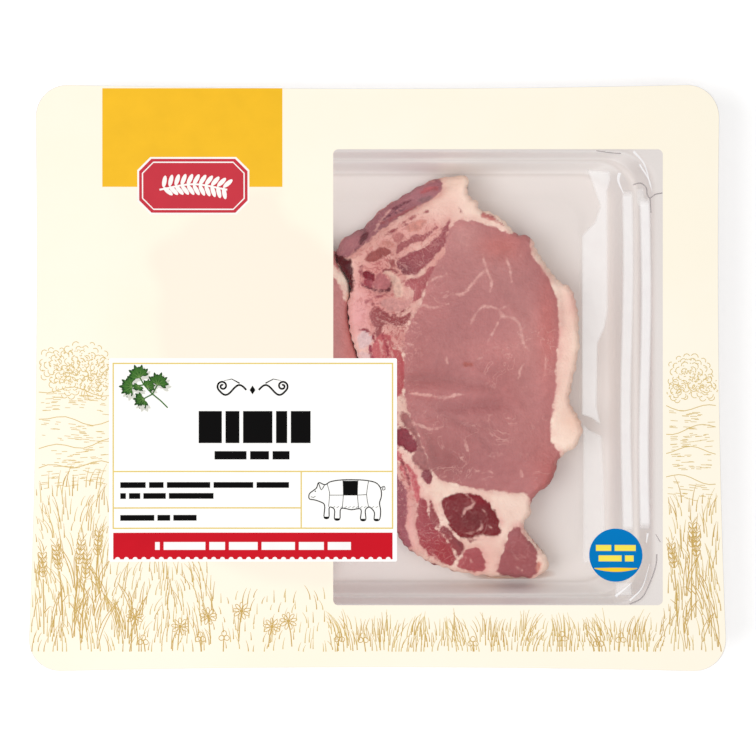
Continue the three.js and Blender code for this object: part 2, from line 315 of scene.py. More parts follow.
def newGroup(name, inputs, outputs):
    group = bpy.data.node_groups.new(name, "ShaderNodeTree")
    for label, kind, value in inputs:
        socket = group.interface.new_socket(label, in_out="INPUT", socket_type=kind)
        socket.default_value = value
    for label, kind in outputs:
        group.interface.new_socket(label, in_out="OUTPUT", socket_type=kind)
    start = newNode(group, "NodeGroupInput", -900, 0)
    end = newNode(group, "NodeGroupOutput", 500, 0)
    return group, start, end


def newMaterial(name, roughness, **sockets):
    material = bpy.data.materials.new(name)
    material.use_nodes = True
    shader = material.node_tree.nodes["Principled BSDF"]
    shader.inputs["Roughness"].default_value = roughness
    for label, value in sockets.items():
        shader.inputs[label.replace("_", " ")].default_value = value
    return material, material.node_tree, shader


def useGroup(tree, group, x, y, **values):
    node = newNode(tree, "ShaderNodeGroup", x, y, node_tree=group)
    for label, value in values.items():
        feed(tree, value, node.inputs[label])
    return node


def readValue(tree, name, x, y, output="Fac"):
    return newNode(tree, "ShaderNodeAttribute", x, y, attribute_name=name).outputs[output]


def newMath(tree, operation, x, y, *values, **settings):
    node = newNode(tree, "ShaderNodeMath", x, y, operation=operation, **settings)
    for socket, value in zip(node.inputs, values):
        feed(tree, value, socket)
    return node.outputs[0]


def newNoise(tree, scale, x, y, **settings):
    # Noise over the object
    place = newNode(tree, "ShaderNodeTexCoord", x - 200, y)
    noise = newNode(tree, "ShaderNodeTexNoise", x, y, in_2=scale, **settings)
    tree.links.new(place.outputs["Object"], noise.inputs["Vector"])
    return noise.outputs["Fac"]


def newRamp(tree, value, x, y, **settings):
    # A soft step between two values
    ramp = newNode(tree, "ShaderNodeMapRange", x, y, interpolation_type="SMOOTHSTEP",
                   in_0=value, **settings)
    return ramp.outputs[0]


def mixColour(tree, mask, first, second, x, y, blend="MIX"):
    node = newNode(tree, "ShaderNodeMix", x, y, data_type="RGBA", blend_type=blend,
                   in_0=mask, in_6=first, in_7=second)
    return node.outputs[2]


def addBump(tree, height, shader, strength, distance, x=-100, y=-300):
    bump = newNode(tree, "ShaderNodeBump", x, y)
    bump.inputs["Strength"].default_value = strength
    bump.inputs["Distance"].default_value = distance
    tree.links.new(height, bump.inputs["Height"])
    tree.links.new(bump.outputs["Normal"], shader.inputs["Normal"])


# Two tones of one colour in soft patches
def makeMottle():
    inputs = [("Light", "NodeSocketColor", (0.8, 0.8, 0.8, 1)),
              ("Dark", "NodeSocketColor", (0.6, 0.6, 0.6, 1)),
              ("Scale", "NodeSocketFloat", 60.0), ("Contrast", "NodeSocketFloat", 2.0)]
    outputs = [("Color", "NodeSocketColor"), ("Value", "NodeSocketFloat")]
    group, start, end = newGroup("softMottle", inputs, outputs)
    noise = newNoise(group, start.outputs["Scale"], -650, 0, in_3=4.0, in_4=0.55)
    centred = newMath(group, "SUBTRACT", -450, 0, noise, 0.5)
    contrast = start.outputs["Contrast"]
    spread = newMath(group, "MULTIPLY_ADD", -280, 0, centred, contrast, 0.5, use_clamp=True)
    colour = mixColour(group, spread, start.outputs["Dark"], start.outputs["Light"], -50, 0)
    group.links.new(colour, end.inputs["Color"])
    group.links.new(spread, end.inputs["Value"])
    return group


# A distance in millimetres, positive inside, turned into a mask with a ragged soft edge
def makeEdgeMask():
    inputs = [("Distance", "NodeSocketFloat", 0.0), ("Width", "NodeSocketFloat", 0.3),
              ("Ragged", "NodeSocketFloat", 0.6), ("Scale", "NodeSocketFloat", 400.0)]
    group, start, end = newGroup("raggedEdge", inputs, [("Mask", "NodeSocketFloat")])
    noise = newNoise(group, start.outputs["Scale"], -700, -150, in_3=5.0, in_4=0.6)
    centred = newMath(group, "SUBTRACT", -500, -150, noise, 0.5)
    ragged, distance = start.outputs["Ragged"], start.outputs["Distance"]
    shifted = newMath(group, "MULTIPLY_ADD", -330, -100, centred, ragged, distance)
    share = newMath(group, "DIVIDE", -160, 0, shifted, start.outputs["Width"])
    ramp = newRamp(group, share, 20, 0, in_1=-1.0, in_2=1.0)
    group.links.new(ramp, end.inputs["Mask"])
    return group


# Fine relief: a broad swell with a finer grain on it
def makeGrain():
    inputs = [("Scale", "NodeSocketFloat", 300.0), ("Grain", "NodeSocketFloat", 0.4)]
    group, start, end = newGroup("fineGrain", inputs, [("Height", "NodeSocketFloat")])
    scale = start.outputs["Scale"]
    broad = newNoise(group, scale, -600, 100, in_3=2.0, in_4=0.5)
    finer = newMath(group, "MULTIPLY", -800, -400, scale, 4.0)
    fine = newNoise(group, finer, -600, -200, in_3=3.0, in_4=0.6)
    total = newMath(group, "MULTIPLY_ADD", -200, 0, fine, start.outputs["Grain"], broad)
    group.links.new(total, end.inputs["Height"])
    return group


# Thin winding threads that come and go
def makeThreads():
    inputs = [("Scale", "NodeSocketFloat", 90.0), ("Width", "NodeSocketFloat", 0.015),
              ("Shown", "NodeSocketFloat", 0.54)]
    group, start, end = newGroup("fineThreads", inputs, [("Mask", "NodeSocketFloat")])
    scale = start.outputs["Scale"]
    winding = newNoise(group, scale, -650, 100, in_3=3.0, in_4=0.55, in_8=1.1)
    centred = newMath(group, "SUBTRACT", -450, 100, winding, 0.5)
    size = newMath(group, "ABSOLUTE", -300, 100, centred)
    line = newRamp(group, size, -130, 100, in_2=start.outputs["Width"], in_3=1.0, in_4=0.0)
    broader = newMath(group, "MULTIPLY", -850, -400, scale, 0.45)
    coming = newNoise(group, broader, -650, -200, in_3=2.0, in_4=0.5)
    above = newMath(group, "SUBTRACT", -450, -200, coming, start.outputs["Shown"])
    shown = newRamp(group, above, -300, -200, in_1=-0.08, in_2=0.08)
    both = newMath(group, "MULTIPLY", 80, 0, line, shown)
    group.links.new(both, end.inputs["Mask"])
    return group


mottle = makeMottle()
fineThreads = makeThreads()
edgeMask = makeEdgeMask()
grain = makeGrain()


def addTone(tree, shader, light, dark, scale, contrast):
    # The base colour in two soft tones
    tone = useGroup(tree, mottle, -500, 0, Light=light, Dark=dark, Scale=scale, Contrast=contrast)
    tree.links.new(tone.outputs["Color"], shader.inputs["Base Color"])
    return tone


def plainInk(name, colour, roughness=0.45, drift=0.94, shine=0.08):
    # Printed or painted colour with a slight drift over the surface
    material, tree, shader = newMaterial(name, roughness, Specular_IOR_Level=shine)
    dark = tuple(c * drift for c in colour[:3]) + (1.0,)
    addTone(tree, shader, colour, dark, 90.0, 2.5)
    height = useGroup(tree, grain, -500, -300, Scale=500.0, Grain=0.5)
    addBump(tree, height.outputs["Height"], shader, 0.05, 0.0002)
    return material


print("helpers ready")


# Camera straight above, at the height that makes the lid fill the picture as shown
camera = {
    "distance": 1.1,  # metres above the lid
    "pictureWidth": 0.2903,  # of the picture at the lid, metres
    "centre": (0.0002, 0.0),
}


def makeCamera():
    data = bpy.data.cameras.new("camera")
    data.sensor_width = 36
    data.lens = data.sensor_width * camera["distance"] / camera["pictureWidth"]
    data.clip_end = 10
    viewer = bpy.data.objects.new("camera", data)
    x, y = camera["centre"]
    viewer.location = (x, y, pack["height"] * mm + camera["distance"])
    bpy.context.scene.collection.objects.link(viewer)
    bpy.context.scene.camera = viewer


makeCamera()
print("camera placed")

# Tray: stepped walls by how far they stand in from the mouth
tray = {
    "steps": [
        (18.2, 8.8, 0.8), (15.4, 7.5, 1.5), (13.7, 6.7, 3.4), (12.4, 6.0, 6.6), (8.4, 4.4, 16.4),
        (7.4, 3.8, 17.6), (5.8, 3.0, 18.2), (5.0, 2.5, 19.4), (1.8, 1.2, 30.2), (0.8, 0.6, 31.5),
        (-0.8, -0.6, 32.0),
    ],
    "colour": rgb(224, 217, 213),
    "shade": rgb(218, 210, 206),
    "paintedLightWallColour": rgb(255, 253, 251),  # painted light: the upright front and back walls are made near white
    "paintedShadeSideColour": rgb(224, 219, 217),  # painted shade: the side walls, which lean out further, are made darker
    "roughness": 0.45,
    "flangeLift": 0.25,  # the flange rises to meet the film
}


def softened(profile):
    # Rounds a profile by cutting its corners, keeping both ends
    profile = np.array(profile, float)
    for _ in range(2):
        cut = [profile[0]]
        for a, b in zip(profile, profile[1:]):
            cut += [a * 0.75 + b * 0.25, a * 0.25 + b * 0.75]
        cut.append(profile[-1])
        profile = np.array(cut)
    return profile


def wallRing(inX, inY, z):
    # One level of the wall, set in from the mouth
    radius = pack["mouthCorner"] - inY * 0.3
    ring = roundedRing(pack["mouthX"] - inX, pack["mouthY"] - inY, radius)
    return np.column_stack([ring, np.full(len(ring), z)])


def flangeRing(inset, z):
    # One line round the rim of the flange
    radius = pack["corner"] - inset * 0.3
    ring = drawnIn(roundedRing(pack["width"] / 2 - inset, pack["depth"] / 2 - inset, radius))
    return np.column_stack([ring, np.full(len(ring), z)])


def makeTray(material):
    wall, foot, rise = pack["wall"], pack["footWidth"], pack["floorRise"]
    inX, inY, _ = tray["steps"][0]
    lift = tray["flangeLift"]
    panelEdge, channelEdge = foot + 1.5, foot - 2.5  # the raised floor panel and the channel round it
    inside = [(inX + panelEdge, inY + panelEdge, wall + rise),
              (inX + channelEdge, inY + channelEdge, wall)]
    inside += [(a, b, z + (lift if z >= pack["height"] else 0)) for a, b, z in tray["steps"]]
    outside = [(a - wall, b - wall, z - wall) for a, b, z in reversed(tray["steps"])]
    outside += [(inX + foot - 3, inY + foot - 3, 0), (inX + foot + 1, inY + foot + 1, rise)]
    top = pack["height"] + lift
    under = pack["height"] - 0.5
    rings = [wallRing(*row) for row in softened(inside)]
    rings += [flangeRing(inset, top - drop) for inset, drop in ((1.0, 0), (0.4, 0.05), (0.05, 0.35))]
    rings += [flangeRing(inset, under - drop) for inset, drop in ((0.02, 0), (0.5, 0.3))]
    rings += [wallRing(*row) for row in softened(outside)]
    count = len(rings[0])
    verts = [(0, 0, rings[0][0][2]), (0, 0, rings[-1][0][2])]
    verts += [tuple(p) for ring in rings for p in ring]
    faces = []
    for i in range(count):
        j = (i + 1) % count
        faces.append((0, 2 + i, 2 + j))
        for r in range(len(rings) - 1):
            a, b = 2 + r * count, 2 + (r + 1) * count
            faces.append((a + i, b + i, b + j, a + j))
        last = 2 + (len(rings) - 1) * count
        faces.append((1, last + j, last + i))
    piece = addPiece("trayShell", verts, faces, material)
    # Shares of painted light on upright faces turned front and back, and of painted shade on those turned
    # to the sides
    slopes = np.zeros(len(verts) * 3)
    piece.data.vertices.foreach_get("normal", slopes)
    slopes = np.abs(slopes.reshape(-1, 3))
    upright = smoothStep(1 - slopes[:, 2], 0.15, 0.75)
    addValues(piece, "paintedLightWallShare", upright * smoothStep(slopes[:, 1], 0.3, 0.8))
    addValues(piece, "paintedShadeSideShare", upright * smoothStep(slopes[:, 0], 0.3, 0.8))
    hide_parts("tray")


def trayPlastic():
    material, tree, shader = newMaterial("trayPlastic", tray["roughness"], Specular_IOR_Level=0.25)
    shader.inputs["Coat Weight"].default_value = 0.06
    shader.inputs["Coat Roughness"].default_value = 0.25
    tone = useGroup(tree, mottle, -500, 0, Light=tray["colour"], Dark=tray["shade"], Scale=14.0,
                    Contrast=1.6)
    # Painted light on the front and back walls and painted shade on the side walls, by how each face is
    # turned
    share = readValue(tree, "paintedLightWallShare", -500, 300)
    colour = mixColour(tree, share, tone.outputs["Color"], tray["paintedLightWallColour"], -250, 100)
    side = readValue(tree, "paintedShadeSideShare", -500, 500)
    colour = mixColour(tree, side, colour, tray["paintedShadeSideColour"], -100, 200)
    tree.links.new(colour, shader.inputs["Base Color"])
    height = useGroup(tree, grain, -500, -300, Scale=45.0, Grain=0.15)
    addBump(tree, height.outputs["Height"], shader, 0.12, 0.0008)
    return material


makeTray(trayPlastic())
print("tray made")

# Chops: two neighbouring slices. Outlines are in millimetres from the middle of the eye of loin.
chop = {
    "thickness": 16.0,
    "edge": 1.8,  # rounding of the rim
    "wobble": 0.45,  # unevenness of the rim
    "crown": 1.4,
    "cell": 0.6,  # spacing of the surface points
    "floor": 1.65,
    "places": {"right": (36.0, -1.0, 0.0, 1.0), "left": (-40.5, -4.5, -3.0, 0.97)},  # x, y, turn, size
    "lap": {"from": 24.0, "to": 38.0, "low": 66.0, "high": 45.0, "lift": 6.5, "press": 0.5, "rise": 10.0,
            "reach": 0.4, "gap": 0.4, "slope": 0.2, "thinnest": 1.2},
    "tuck": 8.0,  # how far the left slice's tail lies bent in
    "fat": rgb(243, 218, 202),
    "vein": rgb(230, 178, 168),
    "threads": rgb(232, 172, 164),  # pale threads in frayed lean
    "flush": rgb(210, 138, 132),  # pink blush of frayed fat
    "streaks": rgb(184, 102, 100),  # red streaks in frayed fat
    "shine": 0.18,
    "tailDrop": 5.0,  # the tail end is thinner
}

sliceOutline = [
    (-6, 79.5), (-1.6, 79.3), (-1.2, 73.8), (0.6, 70.6), (2.4, 69.8), (3.6, 66.6), (7.5, 65),
    (12.5, 62.6), (18.5, 56.5), (23.4, 55.4), (25.6, 50.4), (31.5, 41.5), (35, 38), (38.6, 36.2),
    (40.6, 32), (41.7, 25), (42.2, 15), (41, 6.5), (38.7, -4), (38.6, -9), (41.6, -14), (43.2, -19),
    (41.5, -24.5), (35, -29.5), (31, -39.5), (24, -46), (23, -51.5), (20.5, -57), (25, -64),
    (30.5, -71), (27.5, -76), (13.5, -76), (-1.5, -75), (-14.5, -71), (-24, -65), (-29, -56.5),
    (-32, -43), (-34.5, -23.5), (-38, -8), (-43, 8), (-47, 25), (-46.5, 38), (-52, 49),
    (-49.5, 54.5), (-40.5, 60), (-36, 65.5), (-27, 71.5), (-16.5, 77.5), (-11, 79),
]
# The eye runs out over the rim at the upper and lower right, where no fat covers it
eyeOfLoin = [
    (-5.5, 61.5), (2, 62), (8, 60.4), (12.5, 58.4), (16, 57), (18.4, 58.6), (22.8, 57.5),
    (23.6, 49.5), (29.3, 41.5), (32.8, 35), (34.7, 24), (34, 12), (33, -5.5), (31.7, -15),
    (32, -24), (35, -28.5), (38, -34), (32, -44), (25, -49), (22.5, -44.5), (11, -43), (0, -41.8),
    (-8, -39.6), (-15, -35.4), (-17, -29), (-21.5, -18), (-25, -8), (-25.5, 3), (-24.8, 19.5),
    (-21, 26.5), (-17.5, 33.5), (-16.5, 38.5), (-13.5, 45), (-10, 49.5), (-9.5, 55.5),
]
# Lean meat: colour and outline of each muscle at the cut face
leanParts = {
    "eye": (rgb(181, 116, 115), eyeOfLoin),
    "fillet": (rgb(117, 8, 23), [
        (-10.5, -46), (-7.5, -44.6), (-4, -43.7), (2.2, -44.4), (6.5, -47), (10, -51),
        (11.5, -55.5), (12.1, -59), (9, -60.6), (3.5, -60.2), (-0.5, -61.5), (-3, -61.5),
        (-6.6, -58.3), (-9.5, -53.5), (-10.8, -49)]),
    "flank": (rgb(154, 63, 71), [
        (-19.5, -45.5), (-17.2, -47), (-16.2, -52), (-14.2, -56.5), (-11.5, -59.2), (-8, -64),
        (-5.4, -69.5), (-6.4, -72.2), (-11.5, -70.8), (-16.5, -67), (-19.8, -62), (-20.8, -55.5),
        (-20.5, -50)]),
    "wedge": (rgb(146, 66, 70), [
        (-15.4, -46), (-13.3, -51.5), (-11.5, -55.5), (-12.6, -57.2), (-15, -55.7), (-16, -50.5)]),
    "smallFlank": (rgb(140, 66, 70), [
        (-11.6, -57), (-7.5, -58.2), (-5, -61.7), (-2.3, -64.4), (-4.6, -68.3), (-7.5, -63.8),
        (-11.5, -58.8)]),
    "belly": (rgb(166, 80, 84), [
        (-1.2, -65.8), (3.2, -65.4), (5, -69), (5.7, -73.6), (0, -74.4), (-4.8, -72.8), (-3.2, -69)]),
    "tail": (rgb(155, 85, 88), [
        (15.2, -59), (19, -56.6), (21.2, -60.8), (25.4, -64.5), (26.2, -69), (26.2, -75), (23, -78),
        (13, -76.5), (11, -74.5), (12.3, -68.5), (14.2, -62.5)]),
    "leftStrand": (rgb(196, 96, 102), [
        (-32, -24), (-26, -30.3), (-22, -34.8), (-20.7, -39), (-19.3, -44.5), (-20.4, -48.5),
        (-22.5, -43), (-25.5, -37), (-28.2, -31.5), (-32, -29)]),
    "leftWall": (rgb(158, 88, 98), [
        (-33, -35), (-26.4, -39.5), (-24.6, -47), (-24.8, -57), (-23, -64.5), (-26, -66),
        (-31, -58.5), (-33, -48)]),
    "sliver": (rgb(140, 66, 76), [
        (-17.5, -33.8), (-15.2, -34.8), (-14.8, -39), (-16.2, -40.6), (-18.4, -37.4)]),
    "backSlope": (rgb(156, 96, 104), [
        (-54, 50), (-48.5, 56.5), (-41, 61), (-36.5, 67), (-30, 72), (-21.5, 77), (-14.5, 80),
        (-11, 77.5), (-11.7, 73.5), (-15, 71), (-22.3, 67), (-28.8, 62.8), (-35.2, 58.5),
        (-39.7, 54.2), (-45, 50), (-49, 47.9)]),
    "backUpper": (rgb(162, 88, 90), [
        (-28.5, 49), (-25.5, 51.5), (-20.5, 53.6), (-15, 56.6), (-13, 59.8), (-14.5, 59), (-18, 57),
        (-23.5, 55.5), (-27.5, 52.8)]),
    "back": (rgb(152, 76, 82), [
        (-28.3, 47.3), (-23.3, 49.4), (-16.2, 53), (-12.5, 56.5), (-10, 60.3), (-7.5, 62.6),
        (-9, 57.5), (-9, 54.5), (-12, 50), (-16, 45.5), (-19.5, 42), (-24, 41), (-27.8, 43.5)]),
    "backLower": (rgb(168, 88, 92), [
        (-26.2, 37.8), (-23.5, 39.8), (-19, 40.5), (-15.5, 44.3), (-13.4, 44.2), (-15.2, 41),
        (-17.2, 36.5), (-20.5, 31.5), (-22.6, 30), (-21.8, 33.8), (-23.5, 36)]),
    "roseTop": (rgb(188, 116, 112), [
        (-30, 54.8), (-27.5, 57.6), (-25.4, 56.7), (-26.5, 54), (-28.3, 53.2)]),
    "roseLeft": (rgb(202, 134, 124), [(-36, 53), (-31.5, 54.4), (-29.8, 52.6), (-34, 51.8)]),
    "rib": (rgb(150, 74, 76), [
        (-39, 25), (-37.3, 28.6), (-34.5, 27), (-29.8, 24.8), (-25, 25.8), (-22.6, 27.2),
        (-24, 23.8), (-27, 21), (-30, 21.8), (-33, 21.5), (-34.5, 18.5), (-36.3, 17), (-37, 20.5)]),
    "ribStrands": (rgb(190, 92, 96), [
        (-37, 15.5), (-34.5, 18.5), (-32, 17.8), (-29.5, 14), (-26.8, 11), (-25.7, 6), (-25.7, -1),
        (-27, -5.5), (-31, -8), (-34, 0), (-38, 8), (-37.8, 12.5)]),
}
# What lies over them: marrow, bone ends, gristle, skin and blood, and painted shade on the slice's side in
# the gap
spotParts = {
    # Dark red lean of the slice's side, darkened as painted shade in the gap beside the left slice
    "paintedGapShade": (rgb(78, 6, 16), [
        (-54, 49.5), (-49.1, 48), (-46.2, 46.6), (-45.6, 42), (-45.4, 35), (-48, 34), (-50, 42),
        (-52, 46)]),
    "slopeRed": (rgb(174, 94, 98), [
        (-19.6, 73.4), (-17, 75.6), (-12.5, 75.8), (-12.5, 74.6), (-15.5, 74.2), (-18.5, 72.7)]),
    "slopeGrey": (rgb(152, 110, 114), [(-20, 70.2), (-17, 71.9), (-14.6, 71.4), (-18, 69.4)]),
    "slopeDark": (rgb(104, 44, 54), [
        (-43.5, 52), (-42.2, 57), (-40.2, 58.4), (-39.2, 56.4), (-41.5, 53.6), (-44.6, 50.6)]),
    "porousEnd": (rgb(156, 82, 78), [
        (-40.4, 47), (-39.3, 49.6), (-35.5, 51.1), (-31.2, 50.9), (-31, 49.3), (-35.5, 47),
        (-39.5, 45.8)]),
    "porousTop": (rgb(206, 142, 130), [
        (-24.4, 60.6), (-20, 62.4), (-17, 62.1), (-18.8, 59.3), (-23.5, 58)]),
    "porousMiddle": (rgb(166, 92, 90), [(-31.6, 46.2), (-29.6, 46.6), (-28.8, 44), (-30.8, 43.8)]),
    "blood": (rgb(120, 10, 32), [
        (-41.8, 41.8), (-40, 42.6), (-37.1, 40.3), (-37.4, 38.8), (-40.8, 39.4)]),
    "bloodLow": (rgb(160, 68, 78), [(-41.2, 39.5), (-38, 38.9), (-38, 36.5), (-40.6, 36.8)]),
    "roundMuscle": (rgb(182, 108, 110), [
        (-37.2, 38.5), (-34.8, 41.4), (-32, 40.2), (-30.9, 37.4), (-33.2, 35.3), (-37, 35.8)]),
    "gristle": (rgb(222, 180, 164), [
        (-33, 43), (-28.7, 41.2), (-26.5, 38), (-25.7, 34.5), (-27.4, 32.3), (-29.8, 33.2), (-30.2, 37),
        (-31.3, 40), (-33.4, 41.8)]),
    "fan": (rgb(206, 148, 142), [
        (-35, 30.5), (-31, 32), (-27, 31), (-23, 31), (-23.6, 28.8), (-29, 26.6), (-33, 27.6)]),
    "knob": (rgb(220, 188, 186), [
        (-43.2, 18.2), (-41, 19.1), (-38.5, 17.3), (-38, 15), (-40.8, 12.6), (-43, 12.3), (-43.5, 15)]),
    "lowerKnob": (rgb(228, 190, 186), [
        (-46.6, 9.8), (-42, 11.1), (-39, 10.3), (-39.4, 8), (-46.4, 7.6)]),
    "topSliver": (rgb(190, 116, 110), [
        (4.4, 65.4), (8, 64.4), (11.4, 62.4), (13.4, 60.4), (10, 61.8), (6.5, 63.2), (4.2, 63.8)]),
    "skin": (rgb(162, 103, 101), [
        (-26.5, -12.5), (-23.6, -13.5), (-20, -22), (-16.8, -29.5), (-15.6, -34), (-18.4, -34.8),
        (-22.6, -29.6), (-20.4, -26), (-22.4, -20.5), (-25.8, -17)]),
    "marrow": (rgb(134, 46, 60), [
        (-29.5, -19), (-25.5, -18.5), (-21.8, -22), (-20.5, -26), (-22.6, -28.6), (-26, -26.2),
        (-29, -24)]),
    "tailSpot": (rgb(204, 136, 120), [(26.6, -70.6), (27.9, -71.6), (27.7, -74), (26.4, -75)]),
    "brownSpot": (rgb(172, 98, 90), [(-3.2, 6.6), (-1, 7.4), (1.6, 6.6), (0, 5.6), (-2.3, 5.6)]),
}
# Narrow marks: width, colour and line
spotLines = [
    (0.8, rgb(112, 40, 50), [(-40.9, 36.4), (-36, 35), (-32.8, 35), (-31, 36), (-30.6, 38)]),
    (1.0, rgb(136, 34, 52), [(-42.5, 19.8), (-40.5, 19.7), (-38.4, 18), (-37.3, 15.6)]),
    (1.0, rgb(150, 46, 68), [(-38.9, 13.6), (-38.7, 11), (-37.5, 8.6)]),
    (0.6, rgb(104, 52, 62), [(-30, 67.2), (-26.5, 69), (-22.8, 70.4)]),
    (0.5, rgb(118, 72, 84), [(-28.8, 65.6), (-25, 67.3)]),
    (0.5, rgb(118, 74, 82), [(-48.4, 55.4), (-45, 57.4), (-41.4, 59.4)]),
    (0.5, rgb(148, 62, 72), [(-42.8, 44), (-42.7, 40.4), (-41.7, 37.2), (-39.7, 35.9)]),
    (0.7, rgb(146, 66, 70), [(-35.8, 28.3), (-32, 26), (-29, 25.8), (-23.3, 28.4)]),
    (0.5, rgb(158, 80, 78), [(-29, 28.2), (-25, 29.4), (-23, 30.2)]),
    (0.6, rgb(160, 80, 80), [(-34.2, 29.8), (-33, 30), (-32.6, 28.6), (-33.8, 27.8)]),
    (0.5, rgb(150, 70, 72), [(-38, 29.8), (-34.8, 29.9)]),
    (0.6, rgb(152, 76, 78), [(-33.3, 42.7), (-30.2, 43), (-28.2, 42)]),
    (0.6, rgb(160, 60, 72), [(-34.5, 18), (-33, 14.5), (-31.8, 9.5)]),
    (1.1, rgb(112, 18, 34), [(-31.6, -55), (-27.6, -59.5), (-25, -64), (-22, -67.5)]),
    (0.6, rgb(126, 44, 54), [(-19.5, -69.6), (-13, -72.6), (-6.6, -74.5)]),
    (0.5, rgb(128, 54, 62), [(20.6, -59), (22.8, -61.8), (24.6, -63.6)]),
    (0.6, rgb(122, 50, 54), [(-6.6, -60.7), (-5, -62.4), (-2.6, -65.4)]),
    (0.5, rgb(150, 84, 82), [(-1, -61.6), (0.2, -62.8), (2, -62)]),
    (1.2, rgb(206, 150, 144), [(-37.5, 65), (-29, 71.8), (-21.5, 76.4), (-14, 78.8)]),
    (0.5, rgb(96, 50, 66), [(-34, 62.5), (-30, 66), (-27, 68.6)]),
    (0.7, rgb(160, 84, 88), [(-34.5, 61.5), (-27.5, 64.6), (-21, 68)]),
    (0.5, rgb(150, 74, 78), [(-33, 56.5), (-28.5, 59), (-23, 61.6)]),
    (0.5, rgb(158, 84, 86), [(-28, 60), (-22.5, 63.4), (-16.5, 65.8)]),
    (0.6, rgb(150, 72, 76), [(-41.6, 46), (-42.2, 42.6), (-42.4, 38.6)]),
    (0.6, rgb(164, 84, 90), [(-40.6, 30.6), (-37, 32.4), (-34.4, 32.6)]),
    (0.5, rgb(170, 96, 96), [(-30, 36), (-27.6, 36.8), (-25, 40)]),
    (0.5, rgb(150, 84, 86), [(-4.4, 67.4), (-3.6, 65.8)]),
    (0.6, rgb(140, 60, 66), [(-27, -30), (-24.6, -36), (-23.4, -41)]),
]
# Thin lines of fat in the lean, each with its width
veins = [
    (0.9, [(5, 49), (6.2, 43.5), (8.3, 38.6), (7.8, 34.8)]),
    (0.9, [(-7.5, 33.6), (-2.6, 33.9), (1.2, 38), (3.4, 40.8), (6.4, 43.6)]),
    (0.8, [(13.8, 48.4), (15.4, 43.5), (15.9, 38)]),
    (0.9, [(0, 22), (2.3, 26), (5.6, 28.8), (11, 27.7), (12.1, 25.5), (17.6, 23.8), (19.8, 19.5),
           (20.9, 14), (23, 11.8)]),
    (0.6, [(11, 27.7), (13.8, 28.8), (15.4, 29.5)]),
    (0.5, [(12.1, 25.5), (9.9, 20.6), (6.7, 15)]),
    (0.9, [(-20, 27.6), (-18.4, 29.3), (-14.1, 28.4), (-8.6, 29.8)]),
    (0.7, [(-16.5, 38), (-13, 40), (-9.7, 40.8), (-9, 42)]),
    (0.6, [(-24.6, 23), (-20.6, 22.4)]),
    (0.8, [(-24.6, 14.6), (-21.2, 12.4)]),
    (0.6, [(-9.4, 9.7), (-8.8, 6.4)]),
    (0.9, [(-23.9, -5.1), (-16.3, -5.6), (-10.8, -6.7), (-5.3, -5.6), (-2.1, -5.4)]),
    (0.9, [(-24, -14.9), (-20.6, -17.1), (-15.2, -18.8), (-10.3, -17.9)]),
    (0.7, [(18.7, 0.9), (19.8, 5), (21, 6.6)]),
    (0.5, [(29.6, 10.7), (29, 2)]),
    (0.5, [(2.2, 8.2), (4.5, 9)]),
    (1.6, [(-2.2, -23.2), (-1, -27)]),
    (0.8, [(-4.6, -28.5), (-4, -30), (-1.4, -31.7)]),
    (0.7, [(-5, -30), (-2.6, -29.6)]),
    (0.7, [(-7, -33.7), (-4.8, -34.8)]),
    (0.8, [(1, -33.7), (2.2, -35.1), (3.8, -34.8)]),
    (0.7, [(6.9, -34.9), (8.7, -36)]),
    (1.1, [(19.9, -35), (20.2, -37.2)]),
    (0.8, [(19.4, -28), (19.8, -28.8)]),
    (0.7, [(22.1, -28.5), (22.4, -29.2)]),
    (0.8, [(-11.5, -37), (-9.7, -37.3)]),
    (0.7, [(7.7, -29.3), (9.3, -29.5)]),
    (0.6, [(-3.4, 54), (-0.8, 52.3)]),
    (0.7, [(-2.6, -43.7), (0.5, -46), (1.6, -47.6), (0.4, -49), (-1.6, -49.9), (-3, -52.8)]),
    (0.7, [(4.4, -49.8), (6.4, -52.2)]),
    (0.7, [(-6.6, -50.3), (-4.2, -50.6)]),
    (0.7, [(7, -56.3), (8.5, -57.5)]),
    (0.9, [(4.2, -55), (4.8, -57), (1.5, -59), (-2, -59.4)]),
    (0.8, [(-15.3, -67), (-13.3, -68.8), (-12, -70.6)]),
    (0.7, [(-8.9, -61.8), (-7.2, -61.4)]),
    (0.6, [(0.3, -69.6), (0.7, -71)]),
    (0.7, [(18.4, -72.6), (20.2, -74)]),
    (1.1, [(-23.4, -44), (-22.6, -51), (-21.9, -57.5), (-21, -63), (-17, -69)]),
    (0.7, [(-26.4, -30), (-24.4, -35.2), (-21.6, -45.6)]),
    (1.1, [(-28.8, 48.2), (-25.2, 49.4), (-21, 52.6), (-17, 54.4), (-13.6, 58.4)]),
    (0.8, [(-26, 40), (-22.5, 40.8), (-19.6, 41), (-15.5, 46.5)]),
    (0.7, [(-35.9, 24.1), (-33.5, 22.9), (-30, 22)]),
    (0.8, [(-30, 29.8), (-26.8, 29.4), (-23.4, 29.4)]),
    (0.6, [(-29.6, 28), (-26, 27.4)]),
    (0.8, [(-35.6, 16.6), (-34.3, 13), (-34.6, 8)]),
    (0.8, [(-32.6, 16.6), (-30.6, 10.4), (-29.4, 4)]),
    (1.0, [(-37.2, 57.4), (-35.6, 61), (-33, 64.6), (-30.6, 67)]),
    (0.9, [(-16.9, -71), (-10.9, -73), (-5, -74.6), (1, -75.4)]),
]
